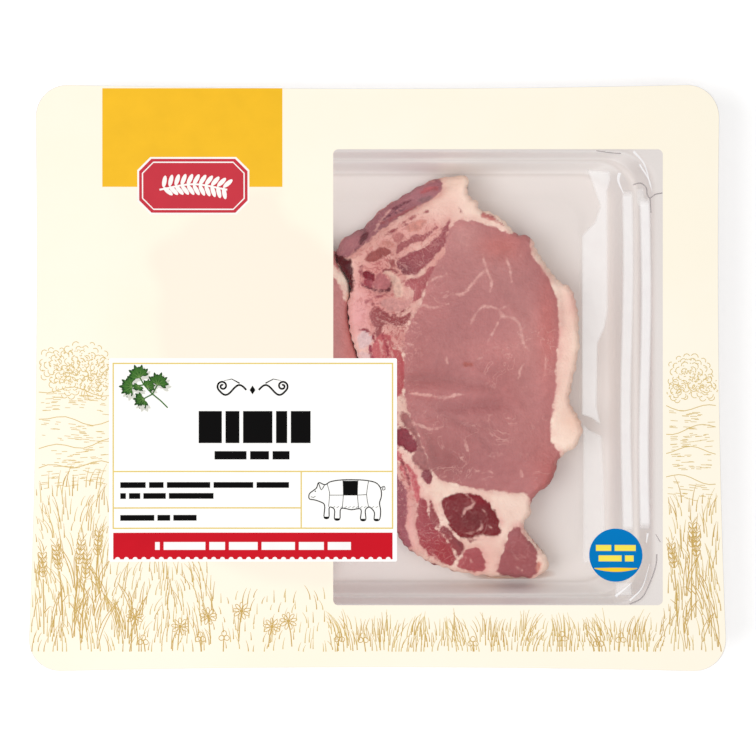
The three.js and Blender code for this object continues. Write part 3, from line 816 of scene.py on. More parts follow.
# Fat is creamier at the rim and pinker by the spine: colour, centre and reach
fatTints = [
    (rgb(220, 148, 142), (-36, 36), (12, 22)),
    (rgb(236, 188, 178), (-25, 59), (14, 7)),
    (rgb(238, 202, 188), (-9, 67), (6, 8)),
    (rgb(232, 168, 168), (-43, 25), (6, 9)),
    (rgb(228, 172, 166), (-25, -54), (6, 20)),
    (rgb(232, 188, 176), (7, -68), (5, 8)),
    (rgb(222, 166, 156), (-12, 48), (6, 14)),
    (rgb(238, 200, 186), (37, 16), (2.4, 20)),
    (rgb(236, 194, 182), (40.5, 30), (3, 5)),
    (rgb(238, 204, 186), (40, -16), (4, 4)),
    (rgb(236, 206, 192), (16, -50), (9, 8)),
]
# Darker and lighter patches of the lean: factor, centre and reach
leanTints = [
    ((0.87, 0.82, 0.82), (-9, -31), (13, 9)),
    ((0.95, 0.91, 0.91), (-14, -22), (9, 9)),
    ((0.97, 0.93, 0.93), (14, -2), (8, 14)),
    ((0.92, 0.86, 0.86), (-18, -2), (10, 5)),
    ((0.92, 0.88, 0.89), (2, -10), (14, 4)),
    ((1.01, 1.01, 1.0), (20, -22), (12, 12)),
    ((0.96, 0.95, 0.95), (6, -20), (10, 7)),
    ((0.94, 0.89, 0.89), (-20, 9), (7, 9)),
    ((1.04, 1.05, 1.04), (-4, 12), (18, 5)),
    ((0.96, 0.95, 0.95), (10, 4), (14, 4)),
    ((0.97, 0.95, 0.96), (6, -34), (20, 9)),
    ((0.97, 0.86, 0.84), (31, -38), (7, 12)),
    ((1.05, 0.96, 0.94), (30, 22), (4, 22)),
    ((1.01, 1.05, 1.04), (6, 44), (16, 12)),
    ((1.04, 1.08, 1.06), (22, 14), (9, 22)),
    ((1.08, 1.16, 1.14), (-2, 57), (6, 6)),
    ((1.05, 0.96, 0.93), (12, 52), (9, 5)),
    ((0.80, 0.78, 0.80), (-26, 43), (4, 3)),
    ((1.05, 0.90, 0.88), (-10, -66), (5, 6)),
    ((0.88, 0.80, 0.80), (2, -54), (6, 5)),
    ((1.14, 1.3, 1.28), (4, -46.5), (4, 2)),
    ((1.12, 1.14, 1.12), (-46, 54), (7, 4)),
    ((1.1, 1.2, 1.18), (-18, 72), (9, 5)),
]
# Where the cut is frayed: strength, centre and reach
frays = [
    (0.85, (-34, 40), (12, 17)),
    (0.9, (-30, 18), (10, 14)),
    (0.6, (-20, 57), (12, 8)),
    (0.4, (-33, 66), (16, 6)),
    (0.8, (-27, -30), (7, 26)),
    (0.2, (-2, -58), (12, 7)),
    (0.15, (-1, -50), (9, 7)),
    (0.35, (-14, -60), (9, 14)),
    (0.3, (-6, 60), (8, 5)),
    (0.25, (20, -68), (7, 9)),
]
# Folds pressed into the face, with painted shade along them, and raised ones with painted light: width,
# depth and how much darker, then the line
folds = [
    (2.2, 0.5, 0.09, [(-23, 0.6), (-11, 1.2), (2, -1), (11, -2.8)]),
    (1.8, 0.4, 0.06, [(-14, -8.9), (-5, -11), (4.5, -9.6), (12, -9)]),
    (2.2, -0.4, -0.05, [(-22, -4), (-12, -4.4), (2, -5)]),
    (1.8, 0.4, 0.12, [(-19, -17.5), (-15.6, -24), (-13.5, -34)]),
    (2.0, 0.3, 0.07, [(-22, -12), (-12, -14), (-2, -17), (8, -18)]),
    (1.6, 0.3, 0.07, [(-28, 64), (-22, 68), (-16, 72)]),
    (1.3, 0.5, 0.2, [(-37.6, 35.2), (-34.4, 34), (-31.4, 35), (-30, 38)]),
    (2.5, 0.3, 0.07, [(14, 52), (10, 44), (14, 34), (22, 26)]),
    (1.2, 0.2, 0.06, [(-20, -7), (-8, -13.5), (3, -21), (8, -27)]),
    (1.4, -0.2, -0.05, [(-16, 16), (-2, 6), (12, -3), (22, -14)]),
    (3.0, -0.3, -0.04, [(24, 34), (28, 20), (28, 6), (27, -12)]),
    (1.5, 0.3, 0.12, [(25, 50), (31, 41), (35, 33), (36.2, 22)]),
]
# The left slice's fat beside the gap, in millimetres from the middle of the pack
leftFat = [
    (-24, 50), (-17.3, 44), (-13.8, 41), (-11, 38), (-8, 30), (-9, 20), (-10.6, 24), (-11.6, 28.4),
    (-13.4, 31), (-14.2, 35), (-15.4, 37.4), (-17.3, 39.2), (-24, 42),
]


def shoulderDrop(x, y):
    # The sloping cut at the back of the spine
    out = (x + 32) * -0.56 + (y - 66) * 0.83
    return 8 * smoothStep(out, -9, 1)


def seatHeight(x, y):
    lap = chop["lap"]
    across = smoothStep(-x, lap["from"], lap["to"])
    return lap["lift"] * across * (1 - smoothStep(y, lap["high"], lap["low"]))


def faceHeight(x, y, depth, eyeDepth):
    rim = np.clip(depth / chop["edge"], 0, 1)
    drop = chop["edge"] * (1 - np.sqrt(np.clip(1 - (1 - rim) ** 2, 0, 1)))
    crown = chop["crown"] * smoothStep(np.maximum(eyeDepth, 0), 0, 14)
    swell = 0.5 * np.sin(0.11 * x + 0.05 * y + 3.3) + 0.4 * np.sin(-0.06 * x + 0.13 * y - 1.8)
    swell += 0.25 * np.sin(0.21 * x - 0.17 * y + 6.3)
    tail = chop["tailDrop"] * smoothStep(-y, 58, 76)
    return chop["thickness"] - drop - shoulderDrop(x, y) - tail + crown + swell


def toLocal(x, y, place):
    px, py, turn, size = place
    c, s = math.cos(math.radians(turn)), math.sin(math.radians(turn))
    dx, dy = (x - px) / size, (y - py) / size
    return dx * c + dy * s, -dx * s + dy * c


def toWorld(x, y, place):
    px, py, turn, size = place
    c, s = math.cos(math.radians(turn)), math.sin(math.radians(turn))
    return px + size * (x * c - y * s), py + size * (x * s + y * c)


def nearestPart(x, y, parts, lines=()):
    # Distance into the nearest part of a set, and that part's colour
    depth = np.full(x.shape, -1e9)
    colour = np.zeros((len(x), 4))
    found = [(tone, insideDistance(x, y, closedCurve(outline, 4))) for tone, outline in parts.values()]
    found += [(tone, width / 2 - lineDistance(x, y, openCurve(line, 1.0)))
              for width, tone, line in lines]
    for tone, d in found:
        nearer = d > depth
        depth[nearer] = d[nearer]
        colour[nearer] = tone
    return depth, colour


def softSpot(x, y, centre, reach):
    return np.exp(-((x - centre[0]) / reach[0]) ** 2 - ((y - centre[1]) / reach[1]) ** 2)


def chopGrid():
    # Square cells inside the outline, with the outermost points drawn onto it
    outline = closedCurve(sliceOutline, 8)
    cell = chop["cell"]
    low, high = outline.min(0), outline.max(0)
    nx = int((high[0] - low[0]) / cell) + 2
    ny = int((high[1] - low[1]) / cell) + 2
    xs = low[0] - cell / 2 + np.arange(nx) * cell
    ys = low[1] - cell / 2 + np.arange(ny) * cell
    gx, gy = np.meshgrid(xs, ys)
    depth = insideDistance(gx.ravel(), gy.ravel(), outline).reshape(gx.shape)
    inside = depth > cell * 0.3
    whole = inside[:-1, :-1] & inside[1:, :-1] & inside[:-1, 1:] & inside[1:, 1:]
    index = -np.ones(gx.shape, int)
    used = np.zeros(gx.shape, bool)
    for dy in (0, 1):
        for dx in (0, 1):
            used[dy:ny - 1 + dy, dx:nx - 1 + dx] |= whole
    index[used] = np.arange(used.sum())
    x, y = gx[used].copy(), gy[used].copy()
    rows, columns = np.nonzero(whole)
    faces = [(index[r, c], index[r, c + 1], index[r + 1, c + 1], index[r + 1, c])
             for r, c in zip(rows, columns)]
    count = np.zeros(len(x), int)
    for corner in range(4):
        np.add.at(count, [f[corner] for f in faces], 1)
    a, b = outline, np.roll(outline, -1, 0)
    along = b - a
    for i in np.nonzero(count < 4)[0]:
        here = np.array([x[i], y[i]])
        t = np.clip(((here - a) * along).sum(1) / (along * along).sum(1), 0, 1)
        feet = a + along * t[:, None]
        foot = np.argmin(((feet - here) ** 2).sum(1))
        outward = np.array([along[foot][1], -along[foot][0]]) / np.linalg.norm(along[foot])
        wobble = math.sin(0.9 * here[0] + 0.6 * here[1]) + math.sin(1.7 * here[1] - 1.1 * here[0])
        x[i], y[i] = feet[foot] - outward * chop["wobble"] * (1 + wobble / 2)
    return x, y, faces


def sinkUnder(x, y, top, place):
    # The left slice passes under the right one, and rises again beside it
    lap, size = chop["lap"], place[3]
    ox, oy = toLocal(*toWorld(x, y, place), chop["places"]["right"])
    out = np.clip(-insideDistance(ox, oy, closedCurve(sliceOutline, 4)), 0, 50)
    risen = lap["rise"] * (1 - np.exp(-out / lap["reach"]))
    roof = seatHeight(ox, oy) - lap["gap"] + risen + lap["slope"] * out
    return np.minimum(top * size, np.maximum(roof, lap["thinnest"])) / size


def addSides(mesh, points, lowest, middle):
    # Draws the rim down to the floor in steps, and tells which face point each new one came from
    rim = [e for e in mesh.edges if e.is_boundary]
    order = list(range(len(points)))
    for share, inward in ((0.2, 0.0), (0.5, 0.002), (0.8, 0.003), (1.0, 0.016)):
        grown = bmesh.ops.extrude_edge_only(mesh, edges=rim)["geom"]
        above = {}
        for vert in [g for g in grown if isinstance(g, bmesh.types.BMVert)]:
            others = [e.other_vert(vert) for e in vert.link_edges]
            above[vert] = min(others, key=lambda v: (v.co - vert.co).length)
        for vert, near in above.items():
            source = order[near.index]
            topPoint = points[source]
            order.append(source)
            vert.index = len(order) - 1
            vert.co.z = topPoint.co.z + (lowest[source] - topPoint.co.z) * share
            vert.co.xy = topPoint.co.xy + (middle.xy - topPoint.co.xy) * inward
        rim = [g for g in grown if isinstance(g, bmesh.types.BMEdge) and g.is_boundary]
    bmesh.ops.holes_fill(mesh, edges=rim, sides=0)
    bmesh.ops.recalc_face_normals(mesh, faces=mesh.faces)
    # Extruding makes the sides in an order that changes from run to run, so all faces are put in one order
    ranked = sorted(mesh.faces, key=lambda face: sorted((v.index for v in face.verts), reverse=True))
    for rank, face in enumerate(ranked):
        face.index = rank
    mesh.faces.sort()
    return np.array(order)


def makeChop(name, material, x, y, faces, values):
    place = chop["places"][name]
    size = place[3]
    seat = seatHeight(x, y) if name == "right" else np.zeros(len(x))
    top = values["height"] + seat * (1 - chop["lap"]["press"])
    wx, wy = toWorld(x, y, place)
    if name == "left":
        top = sinkUnder(x, y, top, place)
        values = dict(values)
        band = insideDistance(wx, wy, closedCurve(leftFat, 4))
        wx = wx - chop["tuck"] * smoothStep(-y, 46, 68)
        values["leanDepth"] = np.minimum(values["leanDepth"], -band)
    base = chop["floor"]
    mesh = bmesh.new()
    points = [mesh.verts.new((a * mm, b * mm, (base + size * h) * mm)) for a, b, h in zip(wx, wy, top)]
    for face in faces:
        mesh.faces.new([points[i] for i in face])
    mesh.verts.index_update()
    lowest = [(base + size * s) * mm for s in seat]
    order = addSides(mesh, points, lowest, Vector((place[0] * mm, place[1] * mm, 0)))
    data = bpy.data.meshes.new("chop_" + name)
    mesh.to_mesh(data)
    mesh.free()
    data.materials.append(material)
    data.polygons.foreach_set("use_smooth", [True] * len(data.polygons))
    piece = bpy.data.objects.new("chopSlice_" + name, data)
    bpy.context.scene.collection.objects.link(piece)
    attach(piece, "root")
    for label in ("leanDepth", "spotDepth", "veinDepth", "foldShade", "fray"):
        addValues(piece, label, values[label][order])
    for label in ("fatColour", "leanColour", "spotColour"):
        layer = data.attributes.new(label, "FLOAT_COLOR", "POINT")
        layer.data.foreach_set("color", values[label][order].astype(np.float32).ravel())
    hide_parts(*[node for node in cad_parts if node.startswith("chop_" + name)])


def chopColours(x, y, leanColour):
    # Tints of the fat and the lean, and how frayed the cut is
    fatColour = np.tile(chop["fat"], (len(x), 1))
    for tone, centre, reach in fatTints:
        share = softSpot(x, y, centre, reach)[:, None] ** 0.7
        fatColour = fatColour * (1 - share) + np.array(tone) * share
    tinted = leanColour.copy()
    for factor, centre, reach in leanTints:
        share = softSpot(x, y, centre, reach)[:, None]
        tinted[:, :3] *= 1 + (np.array(factor) ** 2 - 1) * share
    fray = np.zeros(len(x))
    for strength, centre, reach in frays:
        fray = np.maximum(fray, strength * softSpot(x, y, centre, reach))
    return fatColour, tinted, fray


def chopValues(x, y):
    # Everything that the face's relief and colours need at each point
    depth = insideDistance(x, y, closedCurve(sliceOutline, 8))
    eyeDepth = insideDistance(x, y, closedCurve(eyeOfLoin, 4))
    leanDepth, leanColour = nearestPart(x, y, leanParts)
    spotDepth, spotColour = nearestPart(x, y, spotParts, spotLines)
    fatColour, leanColour, fray = chopColours(x, y, leanColour)
    veinDepth = np.full(len(x), -1e9)
    for width, line in veins:
        curve = openCurve(line, 1.0)
        toEnd = np.minimum(*(np.hypot(x - a, y - b) for a, b in (curve[0], curve[-1])))
        taper = 0.4 + 0.6 * smoothStep(toEnd, 0, 3.5)
        veinDepth = np.maximum(veinDepth, width / 2 * taper - lineDistance(x, y, curve))
    # Painted shade along the folds, and painted light along the raised ones
    shade = np.zeros(len(x))
    height = faceHeight(x, y, depth, eyeDepth)
    for width, deep, dark, line in folds:
        near = np.exp(-(lineDistance(x, y, openCurve(line, 2.0)) / width) ** 2)
        shade += dark * near
        height -= deep * near
    height -= 0.35 * np.exp(-(leanDepth / 0.8) ** 2) * smoothStep(depth, 0.5, 3)
    height += 0.25 * smoothStep(leanDepth, 0.5, 4)
    height -= 0.4 * smoothStep(spotDepth, -0.2, 1.0) * smoothStep(depth, 0.5, 3)
    return {"height": height, "leanDepth": leanDepth, "leanColour": leanColour, "spotDepth": spotDepth,
            "spotColour": spotColour, "veinDepth": veinDepth, "foldShade": shade, "fray": fray,
            "fatColour": fatColour}


def frayedThreads(tree, fray, scale, low, y):
    # Stringy noise that shows where the cut is frayed
    noise = newNoise(tree, scale, -1700, y, in_3=3.0, in_4=0.6, in_8=1.6)
    sharp = newRamp(tree, noise, -1500, y, in_1=low, in_2=low + 0.07)
    return newMath(tree, "MULTIPLY", -1300, y, sharp, fray)


def meatMasks(tree, fray):
    # Masks of lean, spots and veins, more ragged where the cut is frayed
    masks = []
    rows = [("leanDepth", 0.5, 3.2, 3.8, 300.0, 400), ("spotDepth", 0.6, 2.6, 2.2, 420.0, 150),
            ("veinDepth", 0.5, 2.2, 1.0, 480.0, -200)]  # width, raggedness, more where frayed, scale
    for label, width, ragged, extra, scale, y in rows:
        distance = readValue(tree, label, -1150, y)
        raggedness = newMath(tree, "MULTIPLY_ADD", -1150, y - 120, fray, extra, ragged)
        mask = useGroup(tree, edgeMask, -900, y, Distance=distance, Width=width, Ragged=raggedness,
                        Scale=scale)
        masks.append(mask.outputs["Mask"])
    return masks


def fatTone(tree, colours, fray):
    # Creamy fat, pink near the lean and where it is frayed, with red streaks and vessels
    creamy = useGroup(tree, mottle, -1500, 500, Light=(1.03, 1.02, 1.01, 1),
                      Dark=(0.92, 0.85, 0.83, 1), Scale=95.0, Contrast=2.6)
    fat = mixColour(tree, 1.0, colours["fatColour"], creamy.outputs["Color"], -1150, 300, "MULTIPLY")
    blush = useGroup(tree, mottle, -1500, 700, Scale=150.0, Contrast=3.0).outputs["Value"]
    depth = readValue(tree, "leanDepth", -1500, 900)
    near = newRamp(tree, depth, -1300, 900, in_1=-3.2, in_2=0.4, in_4=0.75)
    for share, y in ((near, 800), (fray, 600)):
        blushed = newMath(tree, "MULTIPLY", -1200, y, share, blush)
        fat = mixColour(tree, blushed, fat, chop["flush"], -1100, y - 400)
    vessels = useGroup(tree, fineThreads, -1300, 1100, Scale=160.0, Width=0.03).outputs["Mask"]
    frayedVessels = newMath(tree, "MULTIPLY", -1200, 1000, vessels, fray)
    fat = mixColour(tree, frayedVessels, fat, chop["streaks"], -1000, 300)
    streaks = frayedThreads(tree, fray, 330.0, 0.54, -1200)
    return mixColour(tree, streaks, fat, chop["streaks"], -950, 300)


def leanTone(tree, colours, fray, veinMask):
    # Lean with soft patches, fibres, pale threads and veins
    patches = useGroup(tree, mottle, -1500, -600, Light=(1.09, 1.06, 1.05, 1),
                       Dark=(0.91, 0.91, 0.92, 1), Scale=46.0, Contrast=2.2)
    fibres = useGroup(tree, mottle, -1500, -800, Light=(1.06, 1.06, 1.06, 1),
                      Dark=(0.93, 0.91, 0.91, 1), Scale=420.0, Contrast=2.2)
    lean = mixColour(tree, 1.0, colours["leanColour"], patches.outputs["Color"], -1150, 0, "MULTIPLY")
    lean = mixColour(tree, 1.0, lean, fibres.outputs["Color"], -1000, 0, "MULTIPLY")
    threadTone = mixColour(tree, 0.4, chop["threads"], colours["leanColour"], -1000, -150)
    paleThreads = frayedThreads(tree, fray, 520.0, 0.54, -1400)
    lean = mixColour(tree, paleThreads, lean, threadTone, -850, 0)
    veinTone = mixColour(tree, 0.25, chop["vein"], colours["leanColour"], -650, -450)
    fine = useGroup(tree, fineThreads, -900, -650, Scale=85.0, Width=0.012, Shown=0.56)
    fineMask = newMath(tree, "MULTIPLY", -750, -650, fine.outputs["Mask"], 0.45)
    lean = mixColour(tree, fineMask, lean, veinTone, -600, -100)
    uneven = useGroup(tree, mottle, -1000, -500, Scale=260.0, Contrast=5.0).outputs["Value"]
    broken = newNode(tree, "ShaderNodeMapRange", -800, -400, in_0=uneven, in_3=0.45, in_4=1.0)
    veined = newMath(tree, "MULTIPLY", -650, -300, veinMask, broken.outputs[0])
    veined = newMath(tree, "MULTIPLY", -550, -300, veined, 0.95)
    return mixColour(tree, veined, lean, veinTone, -450, -100), patches.outputs["Value"]


def rawMeat():
    material, tree, shader = newMaterial("rawMeat", 0.42, Specular_IOR_Level=chop["shine"])
    shader.inputs["Subsurface Weight"].default_value = 0.05
    shader.inputs["Subsurface Radius"].default_value = (0.004, 0.0015, 0.001)
    shader.inputs["Subsurface Scale"].default_value = 0.4
    rows = (("fatColour", 300), ("leanColour", 0), ("spotColour", -300))
    colours = {label: readValue(tree, label, -1900, y, "Color") for label, y in rows}
    fray = readValue(tree, "fray", -2100, 0)
    leanMask, spotMask, veinMask = meatMasks(tree, fray)
    fat = fatTone(tree, colours, fray)
    lean, patches = leanTone(tree, colours, fray, veinMask)
    pores = useGroup(tree, mottle, -1500, -1000, Light=(1.12, 1.08, 1.08, 1), Dark=(0.84, 0.78, 0.8, 1),
                     Scale=560.0, Contrast=3.0)
    spots = mixColour(tree, 1.0, colours["spotColour"], pores.outputs["Color"], -1000, -700, "MULTIPLY")
    face = mixColour(tree, leanMask, fat, lean, -250, 100)
    face = mixColour(tree, spotMask, face, spots, -100, 0)
    # Painted shade along the folds darkens the face's colour
    lit = newMath(tree, "SUBTRACT", -250, -350, 1.0, readValue(tree, "foldShade", -450, -400))
    toGrey = newNode(tree, "ShaderNodeCombineColor", -100, -350, in_0=lit, in_1=lit, in_2=lit)
    shaded = mixColour(tree, 1.0, face, toGrey.outputs[0], 50, 0, "MULTIPLY")
    tree.links.new(shaded, shader.inputs["Base Color"])
    wet = newNode(tree, "ShaderNodeMapRange", -300, -900, in_0=patches, in_3=0.52, in_4=0.26)
    tree.links.new(wet.outputs[0], shader.inputs["Roughness"])
    height = useGroup(tree, grain, -300, -600, Scale=260.0, Grain=0.5)
    addBump(tree, height.outputs["Height"], shader, 0.4, 0.001, 50, -400)
    return material


meat = rawMeat()
sliceX, sliceY, sliceFaces = chopGrid()
sliceValues = chopValues(sliceX, sliceY)
for side in chop["places"]:
    makeChop(side, meat, sliceX, sliceY, sliceFaces, sliceValues)
print("chops made")

# Meat juice on the tray below the slice
juice = {
    "outline": [(33, -75.6), (42, -76.6), (52, -77), (62, -76.8), (70, -76), (71, -77.6), (64, -79.4),
                (52, -80.2), (42, -80), (35, -78.6)],
    "colour": rgb(214, 160, 114),
    "shade": rgb(176, 118, 92),
    "alpha": 0.7,
    "height": 0.98,
}


def makeJuice():
    material, tree, shader = newMaterial("meatJuice", 0.2)
    addTone(tree, shader, juice["colour"], juice["shade"], 120.0, 1.5)
    wet = readValue(tree, "wetness", -500, -300)
    alpha = newMath(tree, "MULTIPLY", -300, -300, wet, juice["alpha"])
    tree.links.new(alpha, shader.inputs["Alpha"])
    outline = closedCurve(juice["outline"], 6)
    centre = outline.mean(0)
    verts, faces, wetness = [], [], []
    for share, wet in ((0.02, 1.0), (0.5, 0.8), (1.0, 0.0)):
        verts += [(*(centre + (p - centre) * share), juice["height"]) for p in outline]
        wetness += [wet] * len(outline)
    n = len(outline)
    for ring in range(2):
        for i in range(n):
            j = (i + 1) % n
            faces.append((ring * n + i, (ring + 1) * n + i, (ring + 1) * n + j, ring * n + j))
    piece = addPiece("meatJuice", verts, faces, material)
    addValues(piece, "wetness", wetness)


makeJuice()
print("juice made")

# Lid film: clear, with soft ridges along the right wall and creases at its corners, and painted shade,
# highlights and reflections laid on it
film = {
    "lift": 0.32,
    "thickness": 0.12,
    "clearness": 0.006,  # how much of it is seen
    "creaseLift": 0.5,
    "creaseShadeLines": [  # painted shade along the creases: width, then the line
        (0.35, [(84, 87.2), (90, 86.4), (93.5, 86.2)]),
        (0.45, [(98, 74.2), (101, 74.8), (103.2, 73), (103.5, 70.5), (104.6, 69), (106.4, 70.4),
                (109.3, 71)]),
        (0.35, [(104.6, 69), (105, 63.4)]),
        (0.5, [(96.8, -86.8), (101.4, -84.4), (104.4, -79), (106.8, -72.2), (107.2, -67.6)]),
        (0.3, [(106.8, -60), (108.6, -63)]),
    ],
    # painted highlights along the creases: width, then the line
    "creaseHighlightLines": [
        (0.9, [(98.3, 87), (102.5, 81.8), (104.8, 73.4)]),
        (0.7, [(100.6, 82), (104.2, 76), (105.4, 71.6)]),
        (0.8, [(103.7, -59.6), (103.2, -63.4)]),
        (1.2, [(92.9, 78.7), (92.5, 75.6), (94.4, 71)]),
        (0.9, [(91.4, -83.8), (96, -80), (97.6, -78.6)]),
        (0.6, [(96.8, -85.4), (101.6, -80.4), (104.4, -71.4)]),
    ],
    "sheens": [  # painted reflections: strength, then the outline
        (0.46, [(80.2, 80.2), (89.3, 79.6), (89.9, 76.7), (88.5, 71.4), (88.7, 25.6), (87.5, 19.1),
                (84.9, 13.2), (84.6, -10.9), (86.1, -18.5), (82.2, -15.6), (78.3, -14.4), (78.3, 54.9),
                (83.4, 60.2), (85.2, 66.1), (82.6, 73.8)]),
        (0.3, [(78.7, -17.3), (81.6, -19.7), (86.4, -22), (87.3, -37.9), (88, -70.8), (78.7, -71.4)]),
        (0.3, [(99.2, 73), (102.4, 73), (103.4, 66), (101, 64.6), (99.2, 67)]),
        (0.35, [(91.4, -78.3), (97.5, -78.3), (98, -83.7), (90.8, -83.7)]),
    ],
    "sheenBands": [  # painted reflections in upright bands: strength, left, bottom, right, top
        (0.6, 93.4, -59.6, 98.2, 72.4),
        (0.68, 100.4, -58.4, 105.0, 69.4),
    ],
    "bandSway": 0.5,
}


def filmRelief(x, y):
    # Soft upright ridges in the stretched film beside the wall, and puckers at the corners
    beside = smoothStep(x, 84, 96) * (1 - smoothStep(x, 104, 109))
    beside = beside * (1 - smoothStep(np.abs(y), 60, 78))
    wave = np.sin((x + 1.5 * np.sin(y / 17)) * 1.15) + 0.5 * np.sin((x + 1.1 * np.sin(y / 11 + 2)) * 2.3)
    corner = np.exp(-((x - 97) ** 2 + (np.abs(y) - 76) ** 2) / 120)
    pucker = np.sin(np.hypot(x - 82, np.abs(y) - 62) * 1.1) + 0.4 * np.sin(x * 1.9 - y * 1.3)
    return 0.05 * beside * wave + 0.1 * corner * pucker


def clearFilm():
    material, tree, shader = newMaterial("clearFilm", 0.06, Specular_IOR_Level=0.12,
                                         Alpha=film["clearness"])
    addTone(tree, shader, rgb(250, 250, 250), rgb(238, 238, 240), 25.0, 1.5)
    return material


def paintedFilmShadeAndLight(name, light, dark, alpha):
    # Material for painted shade, highlights and reflections on the film
    material, tree, shader = newMaterial(name, 0.3, Specular_IOR_Level=0.2, Alpha=alpha)
    addTone(tree, shader, light, dark, 160.0, 2.0)
    return material


def makeCreaseShadeAndHighlights():
    # Painted shade and painted highlights along the film's creases
    dark, pale = Strokes(film["creaseLift"]), Strokes(film["creaseLift"] + 0.04)
    for width, line in film["creaseShadeLines"]:
        dark.line(line, width, step=0.8)
    for width, line in film["creaseHighlightLines"]:
        pale.line(line, width, taper=True, step=0.8)
    shade = paintedFilmShadeAndLight("creaseShade", rgb(132, 122, 124), rgb(112, 102, 106), 0.6)
    dark.finish("filmCreaseShade", shade, "film")
    shine = paintedFilmShadeAndLight("creaseShine", rgb(255, 255, 255), rgb(244, 242, 244), 0.7)
    pale.finish("filmCreaseHighlights", shine, "film")


def makeSheens():
    # Soft pale reflections that run down the film beside the wall
    sheen = Strokes(film["creaseLift"] - 0.02)
    share = []
    for strength, outline in film["sheens"]:
        first = len(sheen.verts)
        shape = np.array(outline, float)
        sheen.fill(shape, 0.5)
        x, y = np.array(sheen.verts[first:])[:, :2].T
        share += list(strength * smoothStep(insideDistance(x, y, shape), 0, 0.9))
    for strength, left, bottom, right, high in film["sheenBands"]:
        first = len(sheen.verts)
        sheen.bar(left, bottom, right, high, 12)
        x, y = np.array(sheen.verts[first:])[:, :2].T
        inside = np.minimum(np.minimum(x - left, right - x), np.minimum(y - bottom, high - y) / 2)
        share += list(strength * smoothStep(inside, 0, 1.1))
        for i in range(first, len(sheen.verts)):
            a, b, c = sheen.verts[i]
            sheen.verts[i] = (a + film["bandSway"] * math.sin(b / 19 + left), b, c)
    material = paintedFilmShadeAndLight("filmSheen", rgb(255, 253, 252), rgb(250, 246, 246), 1.0)
    tree = material.node_tree
    alpha = tree.nodes["Principled BSDF"].inputs["Alpha"]
    tree.links.new(readValue(tree, "sheenShare", -500, -300), alpha)
    piece = sheen.finish("filmSheens", material, "film")
    addValues(piece, "sheenShare", share)


def makeFilm():
    edge = drawnIn(roundedRing(pack["width"] / 2 - 0.2, pack["depth"] / 2 - 0.2, pack["corner"]))
    piece = lidSheet("lidFilm", edge, [], film["lift"], film["thickness"], 2.0, clearFilm())
    count = len(piece.data.vertices)
    place = np.zeros(count * 3)
    piece.data.vertices.foreach_get("co", place)
    place = place.reshape(-1, 3)
    x, y = place[:, 0] / mm, place[:, 1] / mm
    place[:, 2] += filmRelief(x, y) * mm
    piece.data.vertices.foreach_set("co", place.ravel())
    piece.data.polygons.foreach_set("use_smooth", [True] * len(piece.data.polygons))
    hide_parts("lid_film")


makeFilm()
makeCreaseShadeAndHighlights()
makeSheens()
print("film made")

# Printed layer with its window
printed = {
    "window": (-17.0, 109.5, -87.2, 87.8, 2.0),  # left, right, bottom, top, corner radius
    "lift": 0.46,
    "thickness": 0.14,
    "cream": rgb(253, 246, 229),
    "creamShade": rgb(252, 243, 222),
    "ghost": rgb(249, 238, 221),
    "yellow": rgb(245, 190, 38),
}


def windowRing(left, right, bottom, top, radius):
    middle = ((left + right) / 2, (top + bottom) / 2)
    return roundedRing((right - left) / 2, (top - bottom) / 2, radius, 6) + middle


def creamInk():
    # Cream, with the hidden slice showing faintly through
    material, tree, shader = newMaterial("creamInk", 0.5, Specular_IOR_Level=0.08)
    ground = useGroup(tree, mottle, -700, 200, Light=printed["cream"], Dark=printed["creamShade"],
                      Scale=16.0, Contrast=2.0)
    depth = readValue(tree, "ghostDepth", -900, -100)
    ghost = useGroup(tree, edgeMask, -700, -100, Distance=depth, Width=4.0, Ragged=3.0, Scale=60.0)
    colour = mixColour(tree, ghost.outputs["Mask"], ground.outputs["Color"], printed["ghost"], -350, 100)
    tree.links.new(colour, shader.inputs["Base Color"])
    height = useGroup(tree, grain, -500, -300, Scale=60.0, Grain=0.2)
    addBump(tree, height.outputs["Height"], shader, 0.06, 0.0006)
    return material


def makePrintedLayer():
    edge = drawnIn(roundedRing(pack["width"] / 2 - 0.25, pack["depth"] / 2 - 0.25, pack["corner"]))
    hole = windowRing(*printed["window"])
    lift, thickness = printed["lift"], printed["thickness"]
    piece = lidSheet("printedLayer", edge, [hole], lift, thickness, 3.5, creamInk())
    x = np.array([v.co.x for v in piece.data.vertices]) / mm
    y = np.array([v.co.y for v in piece.data.vertices]) / mm
    localX, localY = toLocal(x, y, chop["places"]["left"])
    depth = insideDistance(localX, localY, closedCurve(sliceOutline, 3))
    addValues(piece, "ghostDepth", np.clip(depth, -20, 20))
    piece.visible_shadow = False  # the thin print lets light through to the food
    piece.visible_diffuse = False
    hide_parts("printed_layer")


makePrintedLayer()
print("printed layer made")

# Fields of colour on the printed layer: a yellow block and a plain red plaque
plaque = {
    "block": (-105.6, 73.4, -36.5, 111.2),  # left, bottom, right, top
    "centre": (-70.7, 73.8),
    "size": (43.0, 22.0),
    "cut": 5.0,  # at each corner
    "red": rgb(200, 52, 66),
    "white": rgb(252, 250, 246),
}


def plaqueOutline(shrink):
    # A long eight-sided plate with cut corners
    halfX, halfY = plaque["size"][0] / 2 - shrink, plaque["size"][1] / 2 - shrink
    cut = plaque["cut"] - shrink * 0.4
    cx, cy = plaque["centre"]
    corners = [(halfX, halfY - cut), (halfX - cut, halfY), (cut - halfX, halfY), (-halfX, halfY - cut),
               (-halfX, cut - halfY), (cut - halfX, -halfY), (halfX - cut, -halfY), (halfX, cut - halfY)]
    return [(cx + a, cy + b) for a, b in corners]


